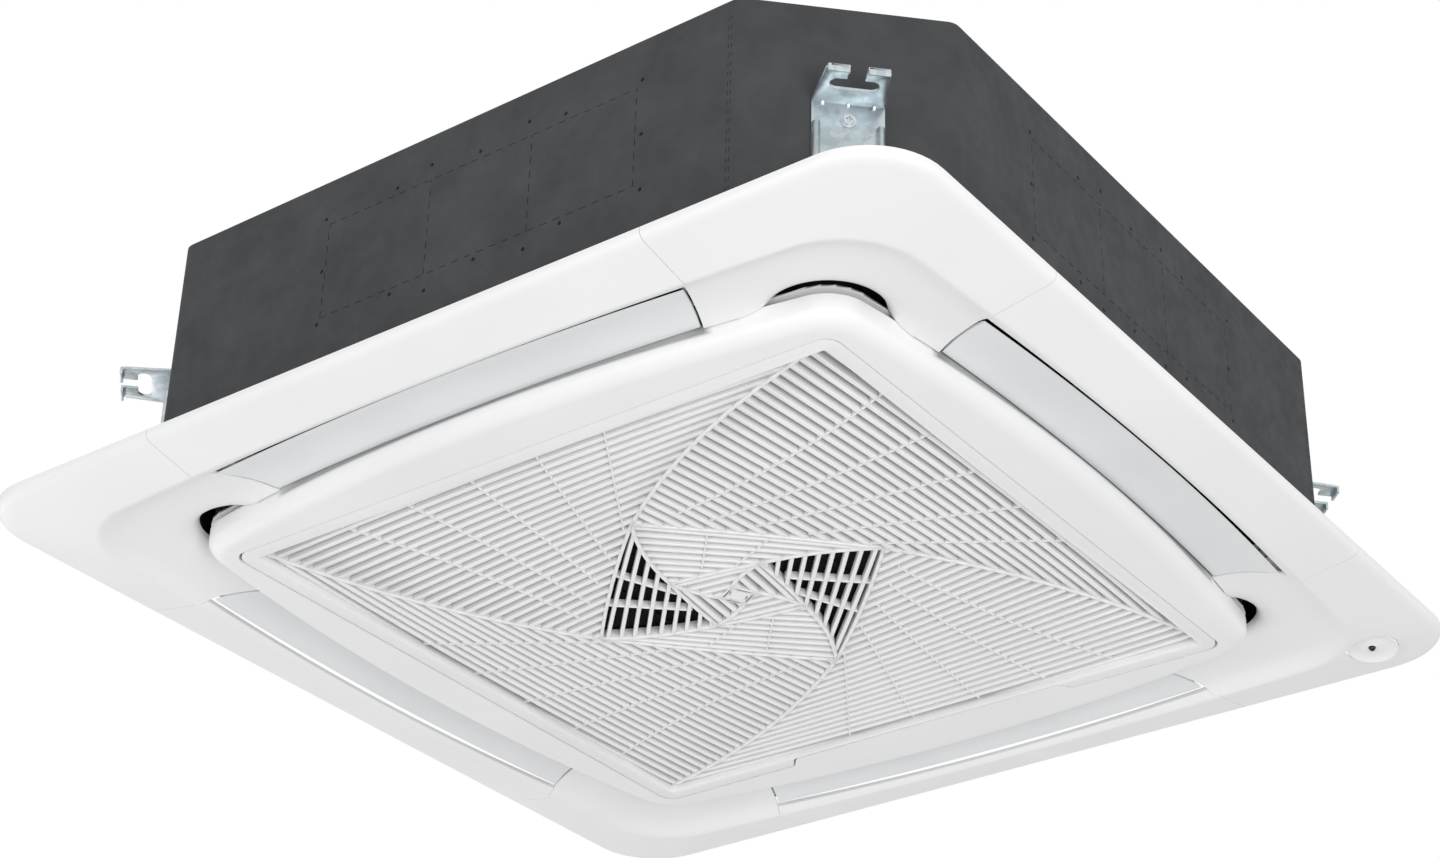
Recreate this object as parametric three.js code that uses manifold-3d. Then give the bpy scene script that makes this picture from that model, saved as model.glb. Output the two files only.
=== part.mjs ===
// Ceiling cassette air conditioner: a 950 mm decoration panel under an 840 mm octagonal casing.
// Millimetres, +Z up. z = 0 is the ceiling's lower face, the origin is the middle of the panel.
// front = -Y (the plain badge side), right = +X, back = +Y (the latch side), left = -X.
import * as THREE from 'three';
import { mergeVertices } from 'three/addons/utils/BufferGeometryUtils.js';
import Module from 'manifold-3d';

const wasm = await Module();
wasm.setup();

// ---------- driving dimensions ----------
// clearances
const seatGap = 0.3;              // between pieces that rest on each other
const runGap = 2.5;               // between the fan's inlet and the bell mouth
// casing
const casingChamfer = 121;        // cut at each corner, along the side
const casingTop = 230;            // above the ceiling
const insulationThickness = 3;
const sheetThickness = 1.2;
const linerThickness = 10;
const gasketThickness = 3;
const pressDepth = 3;             // of the pressed forms in the casing's top
const topPressRadius = 150;
// panel outline and section
const panelHalf = 475;
const panelCorner = 65;
const rimWidth = 48;              // from the panel's edge to the crest, at the middle of a side
const rimHeight = 10.2;           // from the ceiling to the rim's lower edge
const crestHalf = panelHalf - rimWidth;
const crestBow = 11;
const crestCorner = 75;
const crestDepth = 19.3;
const recessDepth = 12.5;         // of the recess at its outer edge
const troughDepth = 7.5;          // of the recess in its hollow
const skinThickness = 2.5;
const deckTop = 3.5;              // upper face of the panel's flat deck
const deckThickness = 2.5;
const ductTop = 15;               // where the panel's air ducts meet the drain pan
const ductWall = 2.5;
// vanes
const outletEdge = 22;            // from the crest to the vane's outer edge, at the vane's ends
const vaneWidth = 52;
const vaneOuter = crestHalf - outletEdge;
const vaneInner = vaneOuter - vaneWidth;
const vaneEndSpace = 163;         // from the end of the vane's outer edge to the corner
const vaneOuterHalf = vaneOuter - vaneEndSpace;
const mitreRun = 22;              // by which the inner edge is shorter at each end
const vaneInnerHalf = vaneOuterHalf - mitreRun;
const vaneOuterBow = 10;
const vaneInnerBow = 8;
const vaneOuterDepth = 13;
const vaneHollow = 3.5;           // hollow of the vane's face
const vaneInnerDepth = 9.5;
const vaneThickness = 2.4;
const vaneGap = 2.6;              // at the vane's ends
const vaneEdgeGap = 3.5;          // along the vane's edges
const vaneAxisInset = 19;         // of the axis from the vane's inner edge
const vaneAxisPlace = vaneInner + vaneAxisInset;
const vaneAxisHeight = 0;
const vanePinRadius = 2;
const vanePinLength = 22;
const vaneArmThickness = 3;
const vaneArmPlace = vaneInnerHalf - vaneArmThickness / 2;
const ductInset = 7.5;            // of the air outlet's inner wall from the vane's inner edge
const ductReach = 8;              // of its outer wall beyond the vane's outer edge
const ductEndSpace = 9;
const ductInner = vaneInner - ductInset;
const ductOuter = vaneOuter + ductReach;
const ductHalf = vaneInnerHalf + ductEndSpace;
const ductFoot = 4;               // depth at which the duct's walls end
const casingMargin = 7.5;         // of the casing outside the ducts
const casingHalf = ductOuter + casingMargin;
const motorRadius = 9;
const motorLength = 20;
const motorOffset = 5;            // of the geared motor's body above its output shaft
// intake surround
const surroundStep = 10;          // of the surround over the vane's inner edge, by its bow
const surroundHalf = vaneInner + surroundStep;
const surroundBow = 24;
const surroundCorner = 38;
const surroundDepth = 28;         // of its flat face
const surroundFoot = 13;          // depth at which its side wall ends
const shoulder = 15;              // width of its rounded shoulder
// corners of the panel
const seamRun = 13;               // from the vane's outer end to the seam of a corner cover
const seamPlace = vaneOuterHalf + seamRun;
const coverGap = 0.5;
const slotInset = 58.5;           // of the round corner outlet slot's centre in the surround
const slotCentre = surroundHalf - slotInset;
const slotRadius = 56;
const coverPosts = [27, 127];     // of a cover's posts from the crest, along either side
const receiverInset = 15;
const receiverPlace = crestHalf - receiverInset;
const receiverRadius = 26;
const receiverDepth = 17.2;       // of the holder's rim, flush with the slope there
// intake grille (the door)
const surroundBorder = 51.5;      // from the surround's side to the door, at the middle of a side
const doorHalf = surroundHalf - surroundBorder;
const doorCorner = 16;
const doorwayCorner = 14;         // sharper than the door's, which turns out through it
const doorGap = 1.2;
const intakeMargin = 6.5;
const intakeHalf = doorHalf + intakeMargin;   // inner face of the intake's upright wall
const doorFace = 27.4;            // depth of the border's face
const doorBack = 14;
const doorWall = 2.4;
const stepDepth = 13;             // the border steps in here to clear the catches
const stepHalf = 146;
const stepSlope = 14;
const hingeInset = 11.5;          // of the hinge axis from the door's front edge
const hingeLift = 3.8;            // of the hinge axis above the door's face
const hingeSide = 5;              // of the hinge from the door's sides
const hingePinRadius = 1.6;
const hingePinLength = 14;
const catchPlace = 95;            // of the two catches, left and right of the middle
const catchWidth = 12;
const catchHeight = 5;
const catchLength = 26;
// slats of the grille
const doorBorder = 14.5;          // width of the door's plain border
const fieldHalf = doorHalf - doorBorder;
const slatFace = 21;              // depth of the slats' lower edge
const slatDeep = 9.5;
const slatThickness = 3;
const slatPitch = 12.35;
const slatLead = 0.855;           // how the slats gather towards the far spoke
const slatLow = 0.6;              // of the slats' backs below the spokes' backs
const spokeThickness = 4;
const spokeProud = 0.6;
const levelSink = 0.5;            // by which each inner zone's slats are shallower
const middleZone = 154;           // radius of the inner zones' corners
const innerZone = 62.2;
const plugRadius = 16;
const whirl = [
  { radius: fieldHalf * Math.SQRT2, turn: 45, spokeBow: 17, sideBow: 0 },
  { radius: middleZone, turn: 90, spokeBow: 6, sideBow: 3 },
  { radius: innerZone, turn: 126.5, spokeBow: 3, sideBow: 1.5 },
  { radius: plugRadius, turn: 165, spokeBow: 0, sideBow: 0 },
];
// filter
const filterMargin = 9;
const filterHalf = fieldHalf - filterMargin;
const filterThickness = 4;
const filterBorder = 9;
const filterSheet = 0.8;
const filterBars = 2;
// drain pan, bell mouth and coil
const panTop = 62;
const airPassage = 85.5;          // from the coil to the outside of the casing
const coilThickness = 35;
const coilInner = casingHalf - airPassage - coilThickness;
const panShelf = 14;              // of the pan inside the coil
const panOpening = coilInner - panShelf;
const panOpeningCorner = 36;
const panLedge = 10;
const ledgeHeight = 37;
const troughFloor = 46;
const coilCorner = 70;
const coilBase = 50;
const coilTop = 214;
const coilGroove = 2;
const coilGapHalf = 62;           // half width of the open corner of the coil
const bellThickness = 2.5;
const bellThroat = 165;
const bellMouth = 190;
const bellTop = 72;
// fan and motor
const fanRadius = 230;
const fanBase = 66;
const fanTop = 201.5;
const fanSkin = 2.5;
const hubCup = 100;               // height of the dished middle's floor
const hubBoss = 20;
const bossBase = 94;
const bossTop = 126;
const bladeCount = 7;
const bladeInner = 152;
const bladeSweep = 42;            // degrees from root to tip
const bladeThickness = 5;
const shaftRadius = 6;
const shaftBottom = 84;
const shaftTop = 188;
const motorBodyRadius = 60;
const motorBodyBase = 146;
const motorBodyTop = 212;
const motorFlange = 80;
const mountPlace = 70;            // of the rubber mounts from the shaft
const mountRadius = 8;
const boreGap = 0.4;
// control box
const boxHalf = 150;
const boxMargin = 4;
const boxWidth = 78;
const boxFar = panOpening - boxMargin;
const boxNear = boxFar - boxWidth;
const boxBase = 4;
const boxWall = 1.6;
// hanger brackets
const bracketWidth = 57;
const bracketSheet = 2.5;
const bracketBend = 138;          // height of the tab
const bracketFoot = 22;
const tabReach = 48;
const tabTipWidth = 50;
const rodSlotPlace = 27;
const rodSlotLength = 38;
const rodSlotWidth = 12;
const rodMouthWidth = 13.5;
const lipHeight = 7;
const lipWidth = 17;
const beadWidth = 7;
const beadHeight = 4;
// pipes and drain
const gasPipeRadius = 7.95;
const liquidPipeRadius = 4.76;
const pipeInset = 78;             // of the pipes along the left side, inside the coil's end
const pipePlace = coilInner - pipeInset;
const gasShift = 14;
const liquidShift = 18;
const gasPipeHeight = 96;
const liquidPipeHeight = 140;
const pipeReach = 34;             // beyond the insulation
const nutLength = 17;
const windowHalf = 42;            // the opening in the casing for the pipes
const windowLow = 70;
const windowHigh = 168;
const pumpSpace = 18;             // of the pump's middle outside the coil's inner face
const pumpPlace = coilInner + pumpSpace;
const pumpRadius = 18;
const pumpTop = 150;
const drainRadius = 13;
const drainHeight = 184;
const drainShift = 50;            // of the outlet from the pump, along the back
const drainPlace = pumpPlace - drainShift;
const drainReach = 30;
const floatShift = 30;            // of the float from the pump
const floatPlace = [pumpPlace - floatShift, pumpPlace];
const floatTravel = 12;

// ---------- small tools ----------
const RADIAN = Math.PI / 180;
const vec = (x, y) => new THREE.Vector2(x, y);

// A closed manifold solid from a three.js geometry; faces are turned out if they point in.
function solid(geometry) {
  const bare = geometry.index ? geometry.clone() : geometry;
  for (const name of Object.keys(bare.attributes)) {
    if (name !== 'position') bare.deleteAttribute(name);
  }
  const merged = mergeVertices(bare, 1e-4);
  const vertProperties = Float32Array.from(merged.attributes.position.array);
  const index = merged.index.array;
  const corners = [];
  for (let i = 0; i < index.length; i += 3) {
    const [a, b, c] = [index[i], index[i + 1], index[i + 2]];
    if (a !== b && b !== c && c !== a) corners.push(a, b, c);
  }
  if (signedVolume(vertProperties, corners) < 0) corners.reverse();
  const triVerts = Uint32Array.from(corners);
  return new wasm.Manifold(new wasm.Mesh({ numProp: 3, vertProperties, triVerts }));
}

function signedVolume(positions, index) {
  let sum = 0;
  for (let i = 0; i < index.length; i += 3) {
    const [a, b, c] = [index[i] * 3, index[i + 1] * 3, index[i + 2] * 3];
    sum += positions[a] * (positions[b + 1] * positions[c + 2] - positions[b + 2] * positions[c + 1]);
    sum -= positions[a + 1] * (positions[b] * positions[c + 2] - positions[b + 2] * positions[c]);
    sum += positions[a + 2] * (positions[b] * positions[c + 1] - positions[b + 1] * positions[c]);
  }
  return sum / 6;
}

function fuse(...pieces) {
  return pieces.flat(Infinity).reduce((whole, piece) => whole.add(piece));
}

function cut(body, ...tools) {
  return tools.flat(Infinity).reduce((whole, tool) => whole.subtract(tool), body);
}

function common(body, tool) {
  return body.intersect(tool);
}

function geometryOf(body) {
  const mesh = body.getMesh();
  const geometry = new THREE.BufferGeometry();
  geometry.setAttribute('position', new THREE.BufferAttribute(mesh.vertProperties, 3));
  geometry.setIndex(new THREE.BufferAttribute(mesh.triVerts, 1));
  return geometry;
}

// A flat outline with holes, raised from one height to another.
function plate(outline, low, high, holes = []) {
  const shape = outline instanceof THREE.Shape ? outline : new THREE.Shape(outline);
  const settings = { depth: high - low, bevelEnabled: false, steps: 1 };
  const geometry = new THREE.ExtrudeGeometry(shape, settings);
  geometry.translate(0, 0, low);
  return holes.reduce((body, hole) => body.subtract(plate(hole, low - 1, high + 1)), solid(geometry));
}

function box(low, high) {
  const size = high.map((value, i) => value - low[i]);
  const geometry = new THREE.BoxGeometry(...size);
  geometry.translate(...low.map((value, i) => value + size[i] / 2));
  return solid(geometry);
}

// A profile of [radius, height] turned about the Z axis.
function turned(profile, segments = 22) {
  const closed = [...profile, profile[0]];
  const geometry = new THREE.LatheGeometry(closed.map(([r, z]) => vec(Math.max(r, 0), z)), segments);
  geometry.rotateX(Math.PI / 2);
  return solid(geometry);
}

function rod(radius, low, high, segments = 24) {
  return turned([[0, low], [radius, low], [radius, high], [0, high]], segments);
}

// Rings of equal point counts joined into one skin that closes on itself.
function loopedSkin(rings) {
  const count = rings[0].points.length;
  const positions = rings.flatMap(({ points, z }) => points.flatMap((p) => [p.x, p.y, z]));
  const index = [];
  rings.forEach((ring, i) => {
    const from = i * count;
    const to = ((i + 1) % rings.length) * count;
    for (let j = 0; j < count; j++) {
      const k = (j + 1) % count;
      index.push(from + j, from + k, to + k, from + j, to + k, to + j);
    }
  });
  const geometry = new THREE.BufferGeometry();
  geometry.setAttribute('position', new THREE.Float32BufferAttribute(positions, 3));
  geometry.setIndex(index);
  return solid(geometry);
}

function quarter(body, turns) {
  return body.rotate([0, 0, 90 * turns]);
}

function allRound(body) {
  return [0, 1, 2, 3].map((turns) => quarter(body, turns));
}

// ---------- outlines ----------
function octagon(half, chamfer) {
  const c = half - chamfer;
  return [[half, -c], [half, c], [c, half], [-c, half], [-half, c], [-half, -c], [-c, -half], [c, -half]]
    .map(([x, y]) => vec(x, y));
}

// The casing's outline, moved in by a wall.
function casingOutline(inset) {
  return octagon(casingHalf - inset, casingChamfer - (2 - Math.SQRT2) * inset);
}

// A square with rounded corners and sides that bow out by a given amount.
function bowedSquare(mid, bow, radius, sideSteps = 4, cornerSteps = 4) {
  const reach = mid - bow - radius;
  const sideRadius = bow > 0 ? (reach ** 2 + bow ** 2) / (2 * bow) : 0;
  const back = sideRadius - mid;
  const bowedCentre = (-back + Math.sqrt(2 * (sideRadius - radius) ** 2 - back ** 2)) / 2;
  const centre = bow > 0 ? bowedCentre : mid - radius;
  const lean = bow > 0 ? Math.atan2(centre, centre + back) : 0;
  const side = (t) => (bow > 0
    ? vec(-back + sideRadius * Math.cos(lean * t), sideRadius * Math.sin(lean * t))
    : vec(mid, centre * t));
  const corner = (t) => {
    const angle = lean + (Math.PI / 2 - 2 * lean) * t;
    return vec(centre + radius * Math.cos(angle), centre + radius * Math.sin(angle));
  };
  const points = [];
  for (let turn = 0; turn < 4; turn++) {
    const run = [];
    for (let i = 0; i < sideSteps; i++) run.push(side((2 * i) / sideSteps - 1));
    for (let i = 0; i < cornerSteps; i++) run.push(corner(i / cornerSteps));
    points.push(...run.map((p) => p.rotateAround(vec(0, 0), turn * Math.PI / 2)));
  }
  return points;
}

const square = (half, radius, steps = 5) => bowedSquare(half, 0, Math.max(radius, 0.5), 1, steps);
const disc = (x, y, radius, steps = 18) => Array.from({ length: steps }, (_, i) => {
  const angle = (i / steps) * 2 * Math.PI;
  return vec(x + radius * Math.cos(angle), y + radius * Math.sin(angle));
});
const rectangle = (x0, y0, x1, y1) => [vec(x0, y0), vec(x1, y0), vec(x1, y1), vec(x0, y1)];

// Ring of the panel at a given distance from the middle: bow and corner change from rim to surround.
function panelRing(mid, depth) {
  const outside = mid > crestHalf;
  const share = outside
    ? (panelHalf - mid) / (panelHalf - crestHalf)
    : (crestHalf - mid) / (crestHalf - surroundHalf);
  const bow = outside ? crestBow * share : THREE.MathUtils.lerp(crestBow, surroundBow, share);
  const radius = outside
    ? THREE.MathUtils.lerp(panelCorner, crestCorner, share)
    : THREE.MathUtils.lerp(crestCorner, surroundCorner, share);
  return { points: bowedSquare(mid, bow, radius), z: -depth };
}

// ---------- materials ----------
function finish(color, roughness, metalness = 0) {
  return new THREE.MeshStandardMaterial({ color, roughness, metalness });
}
const whitePlastic = finish('#ededed', 0.42);
const vanePlastic = finish('#e6e9ea', 0.42);
const grillePlastic = finish('#f0f0f0', 0.45);
const foamWrap = finish('#515253', 0.9);
const zincSheet = finish('#b9c4c9', 0.38, 0.85);
const sponge = finish('#3a3b3c', 0.95);
const blackFoam = finish('#1c1d1f', 0.95);
const greyPlastic = finish('#8d9092', 0.55);
const darkPlastic = finish('#1d1f21', 0.5);
const copper = finish('#b8733f', 0.3, 1);
const brass = finish('#c2a25a', 0.35, 1);
const aluminium = finish('#b6babd', 0.45, 0.9);
const rubber = finish('#232323', 0.9);
const steel = finish('#a9adb0', 0.35, 0.95);
const filterNet = finish('#17181a', 0.9);
const circuitGreen = finish('#2f6b45', 0.6);

const cassette = new THREE.Group();
cassette.name = 'ceiling_cassette';

function part(name, body, material) {
  const mesh = new THREE.Mesh(geometryOf(body), material);
  mesh.name = name;
  cassette.add(mesh);
  return mesh;
}

// ---------- casing ----------
const casingBase = deckTop + gasketThickness + 2 * seatGap;
const steelInset = insulationThickness + seatGap;
const casingInset = steelInset + sheetThickness;
const pipeHeightSpan = [windowLow, windowHigh];

// The opening through wrap, sheet and liner on the left side, for the pipes.
function pipeWindow(grow) {
  const [low, high] = pipeHeightSpan;
  return box(
    [-casingHalf - 2, pipePlace - windowHalf - grow, low - grow],
    [-casingHalf + casingInset + linerThickness + 2, pipePlace + windowHalf + grow, high + grow],
  );
}

// The drain pipe leaves through the back side.
function drainHole(grow) {
  const hole = rod(drainRadius + grow, 0, casingInset + linerThickness + 4);
  return hole.rotate([90, 0, 0]).translate([-drainPlace, casingHalf + 2, drainHeight]);
}

function makeInsulation() {
  const ring = plate(casingOutline(0), casingBase, casingTop, [casingOutline(insulationThickness)]);
  return cut(ring, pipeWindow(0), drainHole(3));
}

// The steel box: side walls, and a top with a round press for the motor and a bead to each corner.
function makeCasing() {
  const inner = casingOutline(casingInset);
  const walls = plate(casingOutline(steelInset), casingBase, casingTop, [inner]);
  const lowFace = casingTop - pressDepth;
  const beadRun = [topPressRadius + 30, casingHalf - 70];
  const dish = (grow, low, high) => rod(topPressRadius + grow, low, high, 40);
  const bead = (grow, low, high) => plate(
    rectangle(beadRun[0] - grow, -16 - grow, beadRun[1] + grow, 16 + grow), low, high);
  const under = [dish(sheetThickness, lowFace - sheetThickness, casingTop)];
  const over = [dish(0, lowFace, casingTop + 1)];
  for (let turn = 0; turn < 8; turn++) {
    under.push(bead(sheetThickness, lowFace - sheetThickness, casingTop).rotate([0, 0, 45 * turn]));
    over.push(bead(0, lowFace, casingTop + 1).rotate([0, 0, 45 * turn]));
  }
  const lid = plate(casingOutline(steelInset), casingTop - sheetThickness, casingTop);
  return cut(fuse(walls, lid, under), over, pipeWindow(-2), drainHole(2.5));
}

function makeLiner() {
  const outer = casingOutline(casingInset + seatGap);
  const inner = casingOutline(casingInset + linerThickness);
  const top = casingTop - pressDepth - sheetThickness - seatGap;
  return cut(plate(outer, panTop + seatGap, top, [inner]), pipeWindow(-2), drainHole(2.5));
}

function makeGasket() {
  const low = deckTop + seatGap;
  return plate(casingOutline(0.5), low, low + gasketThickness, [casingOutline(casingInset + 0.3)]);
}

// ---------- panel ----------
// Half-length of a vane at a distance from the middle: its ends are mitred.
function mitre(place) {
  const slope = (vaneOuterHalf - vaneInnerHalf) / (vaneOuter - vaneInner);
  return vaneInnerHalf + (place - vaneInner) * slope;
}

// Outline of the right-hand vane seen from above, grown on its edges and ends.
function vaneOutline(growOuter, growInner, growEnds) {
  const steps = 6;
  const edge = (place, bow, grow) => Array.from({ length: steps + 1 }, (_, i) => {
    const t = (2 * i) / steps - 1;
    const x = place + grow + bow * (1 - t * t);
    return vec(x, t * (mitre(place + grow) + growEnds));
  });
  const outer = edge(vaneOuter, vaneOuterBow, growOuter);
  const inner = edge(vaneInner, vaneInnerBow, -growInner);
  return [...outer, ...inner.reverse()];
}

// The corner that a cover fills, on the right and back; grown on the seams.
function cornerRegion(grow) {
  const far = panelHalf + 20;
  const near = vaneInner / 2;
  const seam = seamPlace - grow;
  const end = (place) => mitre(place) + vaneGap - grow;
  const crest = crestHalf - crestBow + 2;
  const run = [
    [far, seam], [crest, seam], [crest, end(crest)], [vaneInner, end(vaneInner)],
    [near, end(near)],
  ];
  const mirrored = run.map(([x, y]) => [y, x]).reverse();
  return [...run, ...mirrored, [far, far]].map(([x, y]) => vec(x, y));
}

// Section of the panel's skin from the rim to the surround, lower face then upper face.
function panelSkin() {
  const hollow = (surroundHalf + crestHalf) / 2;
  const lower = [
    [panelHalf, 0], [panelHalf, rimHeight * 0.5], [panelHalf - 2.5, rimHeight * 0.85],
    [panelHalf - 7, rimHeight], [crestHalf, crestDepth],
    [crestHalf - 3.5, crestDepth - 0.3], [crestHalf - 10, recessDepth],
    [hollow - 10, troughDepth], [surroundHalf + 1, troughDepth + 2],
  ];
  const upper = [
    [surroundHalf + 1, troughDepth + 2 - skinThickness], [hollow - 10, troughDepth - skinThickness],
    [crestHalf - 8, recessDepth - skinThickness], [crestHalf - 1, crestDepth - skinThickness - 1],
    [panelHalf - 7, rimHeight - skinThickness], [panelHalf - 6, 0],
  ];
  return loopedSkin([...lower, ...upper].map(([place, depth]) => panelRing(place, depth)));
}

// The raised surround of the grille: wall foot, rounded shoulder, face and the edge of the opening.
function surroundSkin() {
  const outline = (inset) => panelRing(surroundHalf, 0).points.map((p) => {
    const scale = (surroundHalf - inset) / surroundHalf;
    return vec(p.x * scale, p.y * scale);
  });
  const shoulderRings = [0, 0.55, 1].map((share) => {
    const angle = share * Math.PI / 2;
    const inset = shoulder * (1 - Math.cos(angle));
    const rise = (surroundDepth - surroundFoot - 3) * Math.sin(angle);
    return { inset, depth: surroundFoot + 3 + rise };
  });
  const lower = [{ inset: 0, depth: surroundFoot }, ...shoulderRings];
  const upper = [
    { inset: shoulder, depth: surroundDepth - skinThickness },
    { inset: skinThickness + 1, depth: surroundFoot + 4 },
    { inset: skinThickness, depth: surroundFoot },
  ];
  const rings = [...lower, ...upper].map(({ inset, depth }) => ({ points: outline(inset), z: -depth }));
  return loopedSkin(rings);
}

// Outline of the grille's border, stepped in on its back side; grown by a gap.
function doorOutline(grow, radius = doorCorner + grow) {
  const half = doorHalf + grow;
  const base = square(half, radius, 5);
  const stepped = [];
  for (const p of base) stepped.push(p.clone());
  const backStart = stepped.findIndex((p) => Math.abs(p.y - half) < 1e-6 && p.x < half - radius + 1e-6);
  const inY = half - stepDepth;
  const step = [
    vec(stepHalf + stepSlope - grow, half), vec(stepHalf - grow, inY),
    vec(-stepHalf + grow, inY), vec(-stepHalf - stepSlope + grow, half),
  ];
  stepped.splice(backStart + 1, 0, ...step);
  return stepped;
}

function catchPassage(grow) {
  const low = -doorBack - catchHeight - 1;
  const y = doorHalf - stepDepth;
  return [-1, 1].map((side) => box(
    [side * catchPlace - catchWidth / 2 - grow, y - doorWall - 4, low - grow],
    [side * catchPlace + catchWidth / 2 + grow, y + 12, low + catchHeight + grow],
  ));
}

const hingeY = -(doorHalf - hingeInset);
const hingeZ = -(doorFace - hingeLift);
const hingeX = doorHalf - hingeSide;

function alongX(body, x, y, z) {
  return body.rotate([0, 90, 0]).translate([x, y, z]);
}

function alongY(body, x, y, z) {
  return body.rotate([-90, 0, 0]).translate([x, y, z]);
}

// One air outlet of the right side: a duct from the vane up to the drain pan.
function outletVoid(low, high, grow = 0) {
  return box([ductInner - grow, -ductHalf - grow, low], [ductOuter + grow, ductHalf + grow, high]);
}

function cornerSlot(low, high, grow = 0) {
  const around = plate(disc(slotCentre, slotCentre, slotRadius + grow, 24), low, high);
  const surround = plate(panelRing(surroundHalf, 0).points, low - 1, high + 1);
  return cut(around, surround);
}

function makePanelFrame() {
  const deckLow = deckTop - deckThickness;
  const insideCasing = plate(casingOutline(casingInset + 1), -60, 60);
  const corners = allRound(plate(cornerRegion(coverGap), -60, seatGap));
  const vaneSlots = allRound(plate(vaneOutline(vaneEdgeGap, vaneEdgeGap, vaneGap), -60, deckLow - 1));
  const sideSkin = cut(panelSkin(), corners, vaneSlots);
  const crestWall = panelRing(crestHalf - 8, 0).points;
  const crestInner = panelRing(crestHalf - 8 - ductWall, 0).points;
  const skirt = cut(plate(crestWall, -recessDepth, deckTop, [crestInner]), corners);
  const deck = plate(crestWall, deckLow, deckTop, [square(intakeHalf, 20)]);
  const ducts = allRound(outletVoid(-ductFoot, ductTop, ductWall)).map((duct) => common(duct, insideCasing));
  const intakeWall = plate(square(intakeHalf + ductWall, 22), -surroundDepth + 1, ductTop, [
    square(intakeHalf, 20),
  ]);
  const doorway = doorOutline(doorGap, doorwayCorner);
  const face = plate(panelRing(surroundHalf - shoulder - 1, 0).points, -surroundDepth,
    -surroundDepth + skinThickness, [doorway]);
  const lip = plate(doorOutline(doorGap + doorWall, doorwayCorner + doorWall), -surroundDepth,
    -doorBack - 1, [doorway]);
  const catchPads = [-1, 1].map((side) => box(
    [side * catchPlace - catchWidth / 2 - 5, doorHalf - stepDepth + 4, -surroundDepth + 1],
    [side * catchPlace + catchWidth / 2 + 5, intakeHalf + 1, -doorBack],
  ));
  const hingeBosses = [-1, 1].map((side) => box(
    [side > 0 ? hingeX + doorGap : -intakeHalf - 1, hingeY - 4, -surroundDepth + 1],
    [side > 0 ? intakeHalf + 1 : -hingeX - doorGap, hingeY + 5, -doorBack],
  ));
  let frame = fuse(sideSkin, skirt, deck, ducts, intakeWall);
  frame = cut(frame, allRound(outletVoid(-60, 60)));
  frame = cut(frame, allRound(cornerSlot(-60, 60, 0.2)));
  frame = fuse(frame, surroundSkin(), face, lip, catchPads, hingeBosses);
  const doorSpace = plate(doorway, -60, -doorBack + 1);
  frame = cut(frame, doorSpace, catchPassage(seatGap), hingeBores(0.3), vanePinBores(), motorSeats());
  return cut(frame, catchGuides(seatGap));
}

function hingeBores(gap) {
  return [-1, 1].map((side) => alongX(
    rod(hingePinRadius + gap, -hingePinLength / 2 - 1, hingePinLength / 2 + 1, 10),
    side * (hingeX + 3), hingeY, hingeZ));
}

function vanePinBores() {
  const reach = vaneArmPlace + vanePinLength + seatGap;
  const bore = rod(vanePinRadius + boreGap, -reach, reach, 10);
  return allRound(bore.rotate([-90, 0, 0]).translate([vaneAxisPlace, 0, vaneAxisHeight]));
}

// Room for the vane motors: each lies in a cut of the deck, past the end of its duct.
function motorSeats() {
  const start = ductHalf + ductWall + seatGap;
  const seat = box(
    [vaneAxisPlace - motorRadius - seatGap, start, -60],
    [vaneAxisPlace + motorRadius + seatGap, start + motorLength + 2 * seatGap, ductTop + 1],
  );
  return allRound(seat);
}

function makeCornerCover(turns) {
  const region = quarter(plate(cornerRegion(0), -60, 1), turns);
  let cover = common(panelSkin(), region);
  cover = cut(cover, quarter(cornerSlot(-60, 60), turns));
  const slotLip = common(
    cut(plate(disc(slotCentre, slotCentre, slotRadius + skinThickness, 24), -troughDepth - 1, -1.2),
      plate(disc(slotCentre, slotCentre, slotRadius, 24), -60, 60),
      plate(panelRing(surroundHalf + 2, 0).points, -60, 60)),
    plate(cornerRegion(0), -60, 1));
  const [postNear, postFar] = coverPosts.map((inset) => crestHalf - inset);
  const posts = [[postNear, postFar], [postFar, postNear]].map(([x, y]) => box(
    [x - 5, y - 5, -troughDepth - 2], [x + 5, y + 5, deckTop - deckThickness - seatGap]));
  cover = fuse(cover, quarter(slotLip, turns), posts.map((post) => quarter(post, turns)));
  if (turns === 0) cover = cut(cover, receiverHole(0));
  const vaneSlot = plate(vaneOutline(vaneEdgeGap, vaneEdgeGap, vaneGap), -60, 60);
  return cut(cover, quarter(vaneSlot, turns), quarter(vaneSlot, turns + 1));
}

function receiverHole(gap) {
  return rod(receiverRadius - 2 - gap, -60, 1, 20).translate([receiverPlace, receiverPlace, 0]);
}

// A shallow dished holder: its rim lies on the cover and its cup goes through it.
function makeReceiver() {
  const face = -receiverDepth;
  const cup = receiverRadius - 2 - seatGap;
  const profile = [
    [3.7, face + 6], [3.7, face + 2.2], [13, face + 2.6], [cup, face - 0.4], [cup, face + 9],
    [cup - 2, face + 9], [cup - 2, face + 4.6], [6, face + 6],
  ];
  return { body: turned(profile, 20).translate([receiverPlace, receiverPlace, 0]), face };
}

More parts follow.
